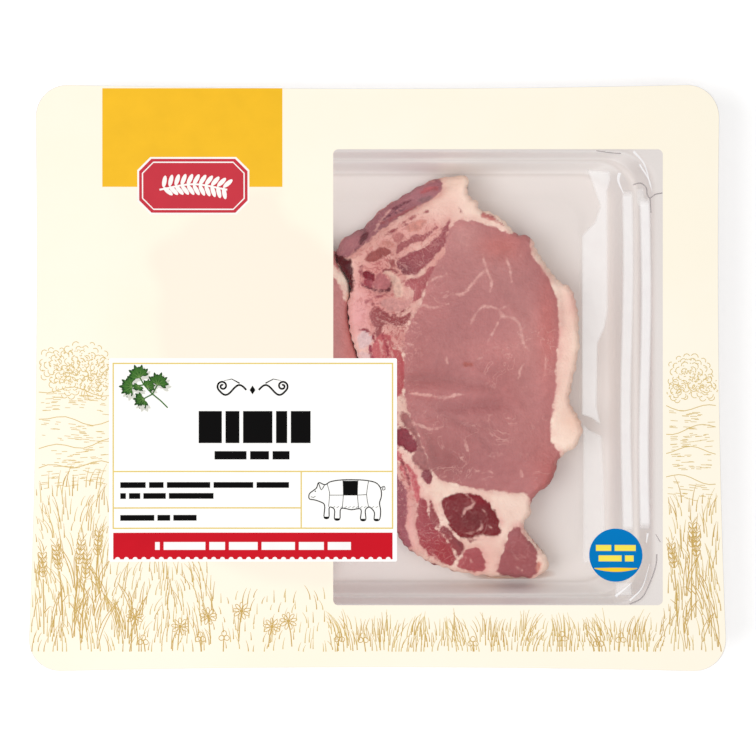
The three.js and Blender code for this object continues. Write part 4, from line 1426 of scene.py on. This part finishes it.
def leafShape(cx, cy, length, width, turn, point=1.0):
    t = np.linspace(0, 2 * math.pi, 15)[:-1]
    x = (1 - np.cos(t)) / 2 * length
    y = np.sign(np.sin(t)) * np.abs(np.sin(t)) ** point * width / 2
    c, s = math.cos(turn), math.sin(turn)
    return [(cx + a * c - b * s, cy + a * s + b * c) for a, b in zip(x, y)]


def makePlaque():
    top = printed["lift"] + printed["thickness"]
    yellow = Strokes(top + 0.03)
    yellow.bar(*plaque["block"])
    yellow.finish("yellowBlock", plainInk("yellowInk", printed["yellow"]), "print")
    white = Strokes(top + 0.07)
    white.fill(plaqueOutline(0))
    white.finish("plaqueRim", plainInk("plaqueWhite", plaque["white"]), "print")
    red = Strokes(top + 0.11)
    red.fill(plaqueOutline(0.7))
    red.finish("plaqueField", plainInk("plaqueRed", plaque["red"]), "print")
    sprig = Strokes(top + 0.15)
    cx, cy = plaque["centre"]
    sprig.loop(plaqueOutline(2.0), 0.5)
    sprig.line([(cx - 13, cy - 1.5), (cx, cy + 0.6), (cx + 13, cy - 1.5)], 0.7)
    for i in range(-5, 6):
        for way in (-1, 1):
            turn = math.radians(90 * way - i * 4 - 30 * way)
            sprig.fill(leafShape(cx + i * 2.3, cy + 0.4 - 0.08 * i * i * 0.5, 4.6, 1.7, turn))
    sprig.finish("plaqueSprig", bpy.data.materials["plaqueWhite"], "print")


makePlaque()
print("plaque made")

# A meadow in ochre line round the lower edge: grass, reeds, wheat, daisies, clover, bushes and low hills
meadow = {
    "ink": rgb(202, 168, 94),
    "paleInk": rgb(216, 190, 126),
    "lineWidth": 0.4,
    "ground": -105.0,
    "margin": 0.9,  # kept clear at the printed edge
    # Beds of grass: left, right, bottom, top, spacing, length of the blades
    "beds": [(-133, -103, -105, -40, 2.2, 9), (-103, -64, -105, -74, 2.0, 8),
             (-64, -18, -105, -84, 2.6, 5.5), (-18, 110, -105, -95, 1.35, 8),
             (110, 133, -105, -46, 2.2, 9)],
    "hills": [(-130, -102.5, -6, 4, 1.6), (110.8, 129.8, -10, 4, 1.6)],  # left, right, crest, rows, sway
    "reeds": [(-131, -90, 34), (112, 131, 16)],  # left, right, how many
    "wheat": [(-129, -105, 5), (114, 125, 3)],
    "daisies": [(-96, -24, 6)],
    "clovers": 9,
    # Bushes: centre and radius
    "bushes": [(-123, 5, 7.2), (-112.5, 6.5, 8.2), (-104, 3, 6.4), (-118, -1.5, 6.6),
               (-107.5, -3.5, 5.4), (119.5, 2, 7.6), (126, -3.5, 5.2), (114.8, -5, 4.2)],
}


def printedReach(y):
    # How far out the print goes at a given place along the side
    v = y / (pack["depth"] / 2)
    bow = pack["sideBow"] * (1 - v * v)
    return pack["width"] / 2 * (1 - pack["lowerFlare"] * v) - bow - meadow["margin"]


def meadowCeiling(x):
    # The highest that a line may reach, which keeps the window bare
    if -19 < x < 111.5:
        return printed["window"][2] - 1.0
    if x > 0:
        return 12.0
    return -68.0 if x > -103 else 14.0


def keptOnPrint(points):
    # The start of a line, up to where it would leave its ground
    kept = []
    for x, y in points:
        if abs(x) > printedReach(y) or y > meadowCeiling(x):
            break
        kept.append((x, y))
    return kept


def addBlade(strokes, x, y, length, lean, width):
    # One blade of grass, bent over by its lean
    points = keptOnPrint([(x + lean * t * t, y + length * t) for t in (0, 0.25, 0.5, 0.75, 1.0)])
    if len(points) > 2:
        strokes.line(points, width, taper=True, step=3.0)


def addReed(strokes, x, y, length, lean, width):
    # A broad blade drawn as an outline
    t = np.linspace(0, 1, 8)
    half = width / 2 * np.sin(math.pi * (0.06 + 0.94 * t))
    left = np.column_stack([x + lean * t * t - half, y + length * t])
    right = np.column_stack([x + lean * t * t + half, y + length * t])[::-1]
    outline = [*left, *right[1:]]
    if len(keptOnPrint(outline)) == len(outline):
        strokes.loop(outline, 0.28)


def addWheat(strokes, x, y, length, lean):
    width = meadow["lineWidth"]
    curve = [(x + lean * t * t, y + length * t) for t in (0, 0.3, 0.6, 0.8, 1.0)]
    strokes.line(curve[:4], width, step=3.0)
    slope = math.atan2(curve[4][1] - curve[3][1], curve[4][0] - curve[3][0])
    c, s = math.cos(slope), math.sin(slope)
    for i in range(5):
        gx, gy = curve[3][0] + c * (0.8 + i * 1.8), curve[3][1] + s * (0.8 + i * 1.8)
        for way in (-1, 1):
            strokes.loop(leafShape(gx, gy, 2.7, 1.1, slope + way * 0.6), 0.26)
            tip = slope + way * 0.34
            if i % 2 == 0:
                beard = (gx + math.cos(tip) * 5, gy + math.sin(tip) * 5)
                strokes.line([(gx + c * 1.6, gy + s * 1.6), beard], 0.2)
    blade = slope + random.choice((-1, 1)) * 0.9
    along, up = math.cos(blade), math.sin(blade)
    low = curve[1]
    leaf = [low, (low[0] + along * 3, low[1] + up * 4), (low[0] + along * 5, low[1] + up * 3.6)]
    strokes.line(keptOnPrint(leaf), width, taper=True)


def addStem(strokes, x, y, length, lean, low, high):
    # A flower's stem, bent between its foot and its head
    head = (x + lean, y + length)
    strokes.line([(x, y), (x + lean * low, y + length * high), head], meadow["lineWidth"], step=3.0)
    return head


def addDaisy(strokes, x, y, length, lean, size):
    cx, cy = addStem(strokes, x, y, length, lean, 0.3, 0.5)
    for i in range(9):
        turn = i * math.tau / 9 + 0.2
        foot = (cx + math.cos(turn) * size * 0.3, cy + math.sin(turn) * size * 0.3)
        strokes.loop(leafShape(*foot, size * 0.75, size * 0.36, turn), 0.24)
    middle = [(cx + math.cos(a) * size * 0.24, cy + math.sin(a) * size * 0.24)
              for a in np.linspace(0, math.tau, 11)[:-1]]
    strokes.fill(middle)


def addClover(strokes, x, y, length, lean, size):
    cx, cy = addStem(strokes, x, y, length, lean, 0.4, 0.6)
    for i in range(3):
        turn = math.pi / 2 + i * math.tau / 3
        strokes.loop(leafShape(cx, cy, size, size * 0.85, turn), 0.26)


def addBush(strokes, x, y, radius):
    # A round bush: scallops along its rim, and rows of small arcs inside
    for ring, share in ((0, 1.0), (1, 0.74), (2, 0.48), (3, 0.22)):
        count = max(int(int(radius * 2) * share), 3)
        for i in range(count):
            turn = (i + 0.5 * ring + random.uniform(-0.2, 0.2)) * math.tau / count
            cx = x + math.cos(turn) * radius * share * 1.05
            cy = y + math.sin(turn) * radius * share * 0.8
            size = random.uniform(0.9, 1.5)
            arc = keptOnPrint([(cx + size * math.cos(turn + a), cy + size * math.sin(turn + a))
                               for a in (-1.3, -0.6, 0, 0.6, 1.3)])
            if len(arc) > 2:
                strokes.line(arc, 0.28, step=0.8)
    for _ in range(int(radius * 9)):
        turn, out = random.uniform(0, math.tau), radius * random.uniform(0, 0.95)
        mark = (x + math.cos(turn) * out, y + math.sin(turn) * out * 0.8)
        lean = random.uniform(-0.5, 0.5)
        strokes.line([mark, (mark[0] + 0.5, mark[1] + lean)], 0.26)


def addHills(strokes, left, right, crest, rows, sway):
    # Rolling fields: long contours with short furrow marks below each
    for row in range(rows):
        y = crest - row * 9.5
        line = [(x, y + sway * math.sin(x * 0.09 + row * 1.7) + 1.2 * math.sin(x * 0.31 + row))
                for x in np.linspace(left, right, 9)]
        strokes.line(line, 0.3)
        for _ in range(int((right - left) * 1.6)):
            x = random.uniform(left + 0.5, right - 3)
            drop = random.uniform(1.2, 8.0)
            level = y + sway * math.sin(x * 0.09 + row * 1.7) - drop
            long = random.uniform(1.2, 3.2)
            rise = 0.1 * long * math.cos(x * 0.09 + row * 1.7)
            strokes.line([(x, level), (x + long, level + rise)], 0.22)


def addBed(dark, pale, left, right, bottom, top, spacing, length):
    # Grass on a loose grid, in clumps that lean with the wind
    for y in np.arange(bottom, top, spacing * 1.5):
        for x in np.arange(left, right, spacing):
            px = x + random.uniform(0, spacing)
            py = max(y + random.uniform(-0.5, 0.5) * spacing, meadow["ground"])
            wind = 0.28 * math.sin(px * 0.13 + py * 0.06) + 0.16 * math.sin(px * 0.37 - py * 0.23)
            clump = 0.5 + 0.5 * math.sin(px * 0.45 + 1.3 * math.sin(py * 0.3))
            thinned = random.random() > 0.6 + 0.4 * clump
            tall = length * random.uniform(0.6, 1.1) * (0.6 + 0.5 * clump)
            lean = tall * (wind + random.uniform(-0.22, 0.22))
            if not thinned:
                ink = dark if random.random() < 0.5 else pale
                addBlade(ink, px, py, tall, lean, meadow["lineWidth"])


def makeMeadow():
    top = printed["lift"] + printed["thickness"]
    dark, pale = Strokes(top + 0.05), Strokes(top + 0.03)
    ground = meadow["ground"]
    for hills in meadow["hills"]:
        addHills(pale, *hills)
    for bush in meadow["bushes"]:
        addBush(pale, *bush)
    for bed in meadow["beds"]:
        addBed(dark, pale, *bed)
    for low, high, count in meadow["reeds"]:
        for _ in range(count):
            tall = random.uniform(9, 19)
            ink = dark if random.random() < 0.6 else pale
            x, y = random.uniform(low, high), random.uniform(ground, -78)
            addReed(ink, x, y, tall, tall * random.uniform(-0.45, 0.45), random.uniform(1.0, 1.7))
    for low, high, count in meadow["wheat"]:
        for i in range(count):
            x = low + (high - low) * (i + random.uniform(0.2, 0.8)) / count
            y = random.uniform(-102, -84)
            addWheat(dark, x, y, random.uniform(20, 34), random.uniform(-2, 3))
    for low, high, count in meadow["daisies"]:
        for i in range(count):
            x = low + (high - low) * (i + random.uniform(0.2, 0.8)) / count
            y = random.uniform(ground, -98)
            addDaisy(dark, x, y, random.uniform(7, 12), random.uniform(-1.5, 1.5), 3.2)
    for i in range(meadow["clovers"]):
        x = random.uniform(-96, 106)
        addClover(dark, x, ground, random.uniform(3, 6), random.uniform(-1, 1), 2.2)
    dark.finish("meadowLines", plainInk("ochreInk", meadow["ink"]), "print")
    pale.finish("meadowPaleLines", plainInk("paleOchreInk", meadow["paleInk"]), "print")


makeMeadow()
print("meadow made")

# Front label and its print
label = {
    "sheet": (-103.0, 7.5, -70.5, 7.6, 0.6),  # left, right, bottom, top, corner radius
    "lift": 0.75,
    "thickness": 0.16,
    "ground": rgb(254, 253, 250),
    "keyline": rgb(230, 204, 112),
    "red": rgb(204, 4, 30),
    "black": rgb(12, 11, 11),
    "band": (-101.4, -69.6, 5.8, -59.4),  # left, bottom, right, top
    "bites": 32,  # round bites in the band's lower edge
    "biteRadius": 1.0,
    "bandRow": (-85.4, -10.2, -66.0, -63.0, [1.0, 9, 3.4, 6.2, 7.2, 5.4, 5], 1.5),
    "frame": (-101.4, -57.7, 5.8, 5.6),
    "lineWidth": 0.5,
    "levels": (-35.9, -49.9),  # the two lines across
    "column": -29.3,  # the upright line beside the figure
    # Rows of bars: left, right, bottom, top, shares of the width, gap
    "rows": [
        (-68.7, -25.7, -25.0, -12.7, [7.5, 4.5, 9.5, 3.6, 6.4], 1.4),
        (-62.6, -33.8, -31.3, -28.1, [8.5, 5, 4.5], 1.4),
        (-98.7, -34.0, -42.2, -40.0, [7, 4, 12, 11, 9], 1.3),
        (-98.7, -63.0, -46.4, -44.2, [1.5, 3, 6, 12], 1.2),
        (-98.7, -69.5, -54.8, -52.6, [8, 3, 5.5], 1.2),
    ],
    "scroll": (-48.0, -4.6),  # centre of the ornament above the rows
}


def wordBars(strokes, left, right, bottom, top, widths, gap):
    # A row of plain bars, fitted between left and right
    scale = (right - left - gap * (len(widths) - 1)) / sum(widths)
    x = left
    for width in widths:
        strokes.bar(x, bottom, x + width * scale, top)
        x += width * scale + gap


def makeLabelSheet():
    sheet = windowRing(*label["sheet"])
    material = plainInk("labelPaper", label["ground"], 0.4, 0.985)
    piece = lidSheet("labelSheet", sheet, [], label["lift"], label["thickness"], 3.0, material)
    piece.visible_shadow = False  # its shadow on the tray is too faint to see
    piece.visible_diffuse = False
    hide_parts("front_label")


def makeKeylines(top):
    lines = Strokes(top + 0.05)
    left, bottom, right, high = label["frame"]
    upper, lower = label["levels"]
    column = label["column"]
    half = label["lineWidth"] / 2
    for y in (bottom, high, upper):
        lines.bar(left - half, y - half, right + half, y + half)
    for x in (left, right):
        lines.bar(x - half, bottom, x + half, high)
    lines.bar(left, lower - half, column, lower + half)
    lines.bar(column - half, bottom, column + half, upper)
    lines.finish("labelKeylines", plainInk("keylineInk", label["keyline"]), "print")


def makeBand(top):
    left, bottom, right, high = label["band"]
    band = Strokes(top + 0.05)
    band.bar(left, bottom, right, high)
    band.finish("labelBand", plainInk("labelRed", label["red"]), "print")
    white = Strokes(top + 0.1)
    wordBars(white, *label["bandRow"])
    pitch = (right - left) / label["bites"]
    for i in range(label["bites"]):
        middle = left + (i + 0.5) * pitch
        radius = label["biteRadius"]
        white.fill([(middle + radius * math.cos(a), bottom - 0.1 + radius * math.sin(a))
                    for a in np.linspace(0, math.pi, 9)], 1.5)
    white.finish("bandBars", plainInk("bandWhite", rgb(253, 249, 248)), "print")


def addScroll(ink, cx, cy):
    # Two waves that run out from a small lozenge and curl at their ends
    curlSize = 2.1
    t = np.linspace(0, 1, 30)
    turn = np.linspace(0, 1.45 * math.tau, 36)
    radius = curlSize * (1 - turn / (1.75 * math.tau))
    curlX = 13 - curlSize * 0.707 + radius * np.cos(turn - math.pi / 4)
    curlY = curlSize * 0.707 + radius * np.sin(turn - math.pi / 4)
    for way in (-1, 1):
        wave = np.column_stack([cx + way * (2.4 + 10.6 * t), cy + 1.9 * np.sin(math.tau * t)])
        ink.line(wave, 0.7, step=0.5)
        ink.line(np.column_stack([cx + way * curlX, cy + curlY]), 0.7, step=0.5)
        tendril = [(cx + way * 5, cy + 2.6), (cx + way * 8, cy + 4.2), (cx + way * 11, cy + 3.6)]
        ink.line(tendril, 0.5, taper=True)
    ink.fill([(cx - 1.1, cy), (cx, cy - 1.7), (cx + 1.1, cy), (cx, cy + 1.7)])


def makeLabelBlacks(top):
    ink = Strokes(top + 0.05)
    for row in label["rows"]:
        wordBars(ink, *row)
    addScroll(ink, *label["scroll"])
    ink.finish("labelPrint", plainInk("labelBlack", label["black"], shine=0.02), "print")


# A plain figure of a pig, as butchers' charts show it, facing left with one cut filled in
pig = {
    "outline": [
        (-26.2, -44.6), (-24.6, -43.2), (-23.4, -42.2), (-22.6, -40.2), (-20.2, -41.0), (-18.2, -39.9),
        (-14.2, -39.2), (-9.0, -39.1), (-4.0, -39.4), (-0.4, -40.4), (1.2, -42.4), (1.5, -45.4),
        (0.8, -48.0), (1.2, -51.0), (0.6, -54.6), (-1.2, -54.6), (-1.2, -51.6), (-3.2, -49.6),
        (-4.6, -50.6), (-4.6, -54.6), (-6.4, -54.6), (-6.4, -50.4), (-10.0, -50.6), (-14.0, -50.2),
        (-14.6, -54.4), (-16.4, -54.4), (-16.6, -50.4), (-18.4, -49.6), (-18.8, -53.8), (-20.4, -53.8),
        (-20.4, -48.6), (-22.4, -47.4), (-24.4, -46.8), (-26.2, -46.4),
    ],
    "cuts": [
        [(-19.4, -40.4), (-18.4, -44.0), (-18.8, -49.4)],
        [(-13.3, -39.2), (-13.1, -44.9), (-13.6, -50.3)],
        [(-7.5, -39.2), (-7.7, -44.9), (-7.2, -50.3)],
        [(-3.4, -39.5), (-4.2, -44.8), (-3.4, -49.6)],
        [(-18.4, -45.0), (-12.0, -45.0), (-7.7, -45.0), (-4.2, -44.8)],
    ],
    "block": (-13.2, -44.9, -7.6, -39.5),
    "tail": [(1.2, -42.2), (2.6, -41.6), (2.9, -42.8), (1.9, -43.0), (2.2, -41.9)],
    "ear": [(-22.6, -40.4), (-21.6, -43.0), (-20.4, -41.2)],
    "mouth": [(-25.6, -45.6), (-24.6, -45.9), (-23.8, -45.4)],
    "eye": (-23.9, -43.5, 0.28),  # centre and radius
    "hooves": [(-20.4, -53.8), (-16.4, -54.4), (-6.4, -54.6), (-1.2, -54.6)],
}


def makePig(top):
    ink = Strokes(top + 0.06)
    ink.loop(closedCurve(pig["outline"], 4), 0.4)
    for cut in pig["cuts"]:
        ink.line(cut, 0.22)
    ink.bar(*pig["block"])
    ink.line(pig["tail"], 0.28, step=0.5)
    ink.line(pig["ear"], 0.3, step=0.8)
    eyeX, eyeY, radius = pig["eye"]
    around = np.linspace(0, math.tau, 9)[:-1]
    ink.fill([(eyeX + radius * math.cos(a), eyeY + radius * math.sin(a)) for a in around])
    ink.line(pig["mouth"], 0.22)
    for x, y in pig["hooves"]:
        ink.bar(x + 0.1, y - 0.2, x + 1.6, y + 0.5)
    for i in range(12):
        x = -17.2 + i * 1.5
        ink.line([(x, -49.9), (x + 0.9, -49.3)], 0.16)
    ink.finish("pigFigure", bpy.data.materials["labelBlack"], "print")


# A printed sprig of herb at the corner of the label, in three greens over a soft shadow
herb = {
    "stems": [[(-80.6, -11.4), (-83.4, -8.6), (-86.4, -6.2), (-89.6, -2.6), (-91.4, 0.4)],
              [(-89.6, -2.6), (-94.4, -3.4)], [(-86.4, -6.2), (-84.4, -2.4)],
              [(-86.4, -6.2), (-90.2, -8.2)]],
    # Leaves: x, y, size, turn in degrees
    "leaves": [(-91.4, 0.2, 6.6, 112), (-94.2, -3.4, 6.4, 178), (-84.6, -2.6, 6.4, 70),
               (-89.8, -8.0, 5.4, 214), (-88.4, -3.6, 4.4, 48), (-91.6, -3.0, 3.6, 240)],
    "fan": [(-1.15, 0.7), (-0.58, 0.88), (0, 1.0), (0.58, 0.88), (1.15, 0.7)],  # turn and length
    "greens": [rgb(32, 74, 26), rgb(62, 112, 42), rgb(120, 156, 84)],
    "shadow": rgb(214, 214, 204),
}


def herbLeaf(strokes, x, y, size, turn, spread):
    # Five leaflets in a fan, each ending in three pointed lobes
    for way, long in herb["fan"]:
        angle = turn + way
        reach = size * long * 0.62
        strokes.fill(leafShape(x, y, reach * spread, size * 0.15 * spread, angle), 1.5)
        tipX, tipY = x + math.cos(angle) * reach * 0.45, y + math.sin(angle) * reach * 0.45
        for side, share in ((-0.62, 0.4), (0, 0.52), (0.62, 0.4)):
            lobe = leafShape(tipX, tipY, size * share * spread, size * 0.2 * spread, angle + side, 1.5)
            strokes.fill(lobe, 1.5)


def makeHerb(top):
    shadow = Strokes(top + 0.04)
    shades = [Strokes(top + 0.07 + 0.03 * i) for i in range(3)]
    for x, y, size, degrees in herb["leaves"]:
        turn = math.radians(degrees)
        herbLeaf(shadow, x + 0.8, y - 1.1, size, turn, 1.05)
        herbLeaf(shades[0], x, y, size, turn, 1.0)
        herbLeaf(shades[1], x + 0.15, y + 0.2, size, turn, 0.72)
        for side, _ in herb["fan"]:
            end = turn + side
            reach = size * 0.42
            tip = (x + math.cos(end) * reach, y + math.sin(end) * reach)
            shades[2].line([(x, y), tip], 0.2, taper=True)
    for stem in herb["stems"]:
        shades[1].line(stem, 0.5)
    shadow.finish("herbShadow", plainInk("herbShadowInk", herb["shadow"]), "print")
    for i, strokes in enumerate(shades):
        name = f"herbGreen{i + 1}"
        strokes.finish(name, plainInk(name, herb["greens"][i], 0.45, 0.8), "print")


def makeLabel():
    makeLabelSheet()
    top = label["lift"] + label["thickness"]
    makeKeylines(top)
    makeBand(top)
    makeLabelBlacks(top)
    makePig(top)
    makeHerb(top)


makeLabel()
print("label made")

# Round seal: blue with a plain yellow band and yellow bars
seal = {
    "centre": (91.5, -68.0),
    "radius": 10.2,
    "lift": 0.75,
    "thickness": 0.16,
    "blue": rgb(0, 120, 190),
    "yellow": rgb(250, 205, 40),
    "bars": rgb(248, 228, 84),
    "bandReach": 8.2,  # half the length of the band
    "bandParts": 16,
    # Rows of bars from the centre: left, right, bottom, top, shares of the width, gap
    "rows": [(-7.6, 7.6, 1.6, 3.9, [4, 5.5], 1.3), (-6.6, 6.8, -2.4, -0.1, [8.5, 3.2], 1.3)],
}


def makeSeal():
    cx, cy = seal["centre"]
    radius = seal["radius"]
    around = np.linspace(0, math.tau, 73)[:-1]
    ring = [(cx + radius * math.cos(a), cy + radius * math.sin(a)) for a in around]
    ink = plainInk("sealBlue", seal["blue"], shine=0.02)
    piece = lidSheet("sealDisc", ring, [], seal["lift"], seal["thickness"], 2.5, ink)
    piece.visible_shadow = False
    piece.visible_diffuse = False
    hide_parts("round_seal")
    top = seal["lift"] + seal["thickness"]
    band = Strokes(top + 0.05)
    reach, parts = seal["bandReach"], seal["bandParts"]
    for i in range(parts):
        # Each part of the band runs between two places across, thick in the middle and thin at the ends
        x0, x1 = cx - reach + i * 2 * reach / parts, cx - reach + (i + 1) * 2 * reach / parts
        low = [cy - 6.4 + 0.018 * (x - cx) ** 2 for x in (x0, x1)]
        thick = [1.5 * math.cos((x - cx) / reach * 1.45) + 0.1 for x in (x0, x1)]
        band.fill([(x0, low[0]), (x1, low[1]), (x1, low[1] + thick[1]), (x0, low[0] + thick[0])])
    band.finish("sealBand", plainInk("sealYellow", seal["yellow"]), "print")
    bars = Strokes(top + 0.05)
    for left, right, bottom, high, widths, gap in seal["rows"]:
        wordBars(bars, cx + left, cx + right, cy + bottom, cy + high, widths, gap)
    bars.finish("sealBars", plainInk("sealBarInk", seal["bars"]), "print")


makeSeal()
print("seal made")

# Floor and lights
studio = {
    "floor": rgb(250, 250, 250),
    "floorShade": rgb(246, 246, 246),
    "floorHalf": 3.0,  # metres
    "floorGlow": 0.25,
    "worldStrength": 0.475,
    "key": {"place": (-0.74, -0.16, 1.34), "size": 1.0, "power": 10.2},
    "fill": {"place": (0.24, -0.16, 1.9), "size": 1.2, "power": 9.0},
}


def makeFloor():
    half = studio["floorHalf"]
    material, tree, shader = newMaterial("studioFloor", 0.7, Specular_IOR_Level=0.2)
    tone = addTone(tree, shader, studio["floor"], studio["floorShade"], 3.0, 1.0)
    tree.links.new(tone.outputs["Color"], shader.inputs["Emission Color"])
    shader.inputs["Emission Strength"].default_value = studio["floorGlow"]
    corners = [(-half, -half, 0), (half, -half, 0), (half, half, 0), (-half, half, 0)]
    mesh = bpy.data.meshes.new("studioFloor")
    mesh.from_pydata(corners, [], [(0, 1, 2, 3)])
    mesh.materials.append(material)
    piece = bpy.data.objects.new("studioFloor", mesh)
    bpy.context.scene.collection.objects.link(piece)


def makeLights():
    for name in ("key", "fill"):
        row = studio[name]
        data = bpy.data.lights.new(name, "AREA")
        data.shape = "DISK"
        data.size = row["size"]
        data.energy = row["power"]
        lamp = bpy.data.objects.new(name, data)
        lamp.location = row["place"]
        lamp.rotation_euler = (Vector((0, 0, 0)) - lamp.location).to_track_quat("-Z", "Y").to_euler()
        bpy.context.scene.collection.objects.link(lamp)
    world = bpy.data.worlds.new("studio")
    world.use_nodes = True
    background = world.node_tree.nodes["Background"]
    background.inputs["Color"].default_value = (1, 1, 1, 1)
    background.inputs["Strength"].default_value = studio["worldStrength"]
    bpy.context.scene.world = world
    bpy.context.scene.view_settings.view_transform = "Standard"


makeFloor()
makeLights()
print("floor and lights made")
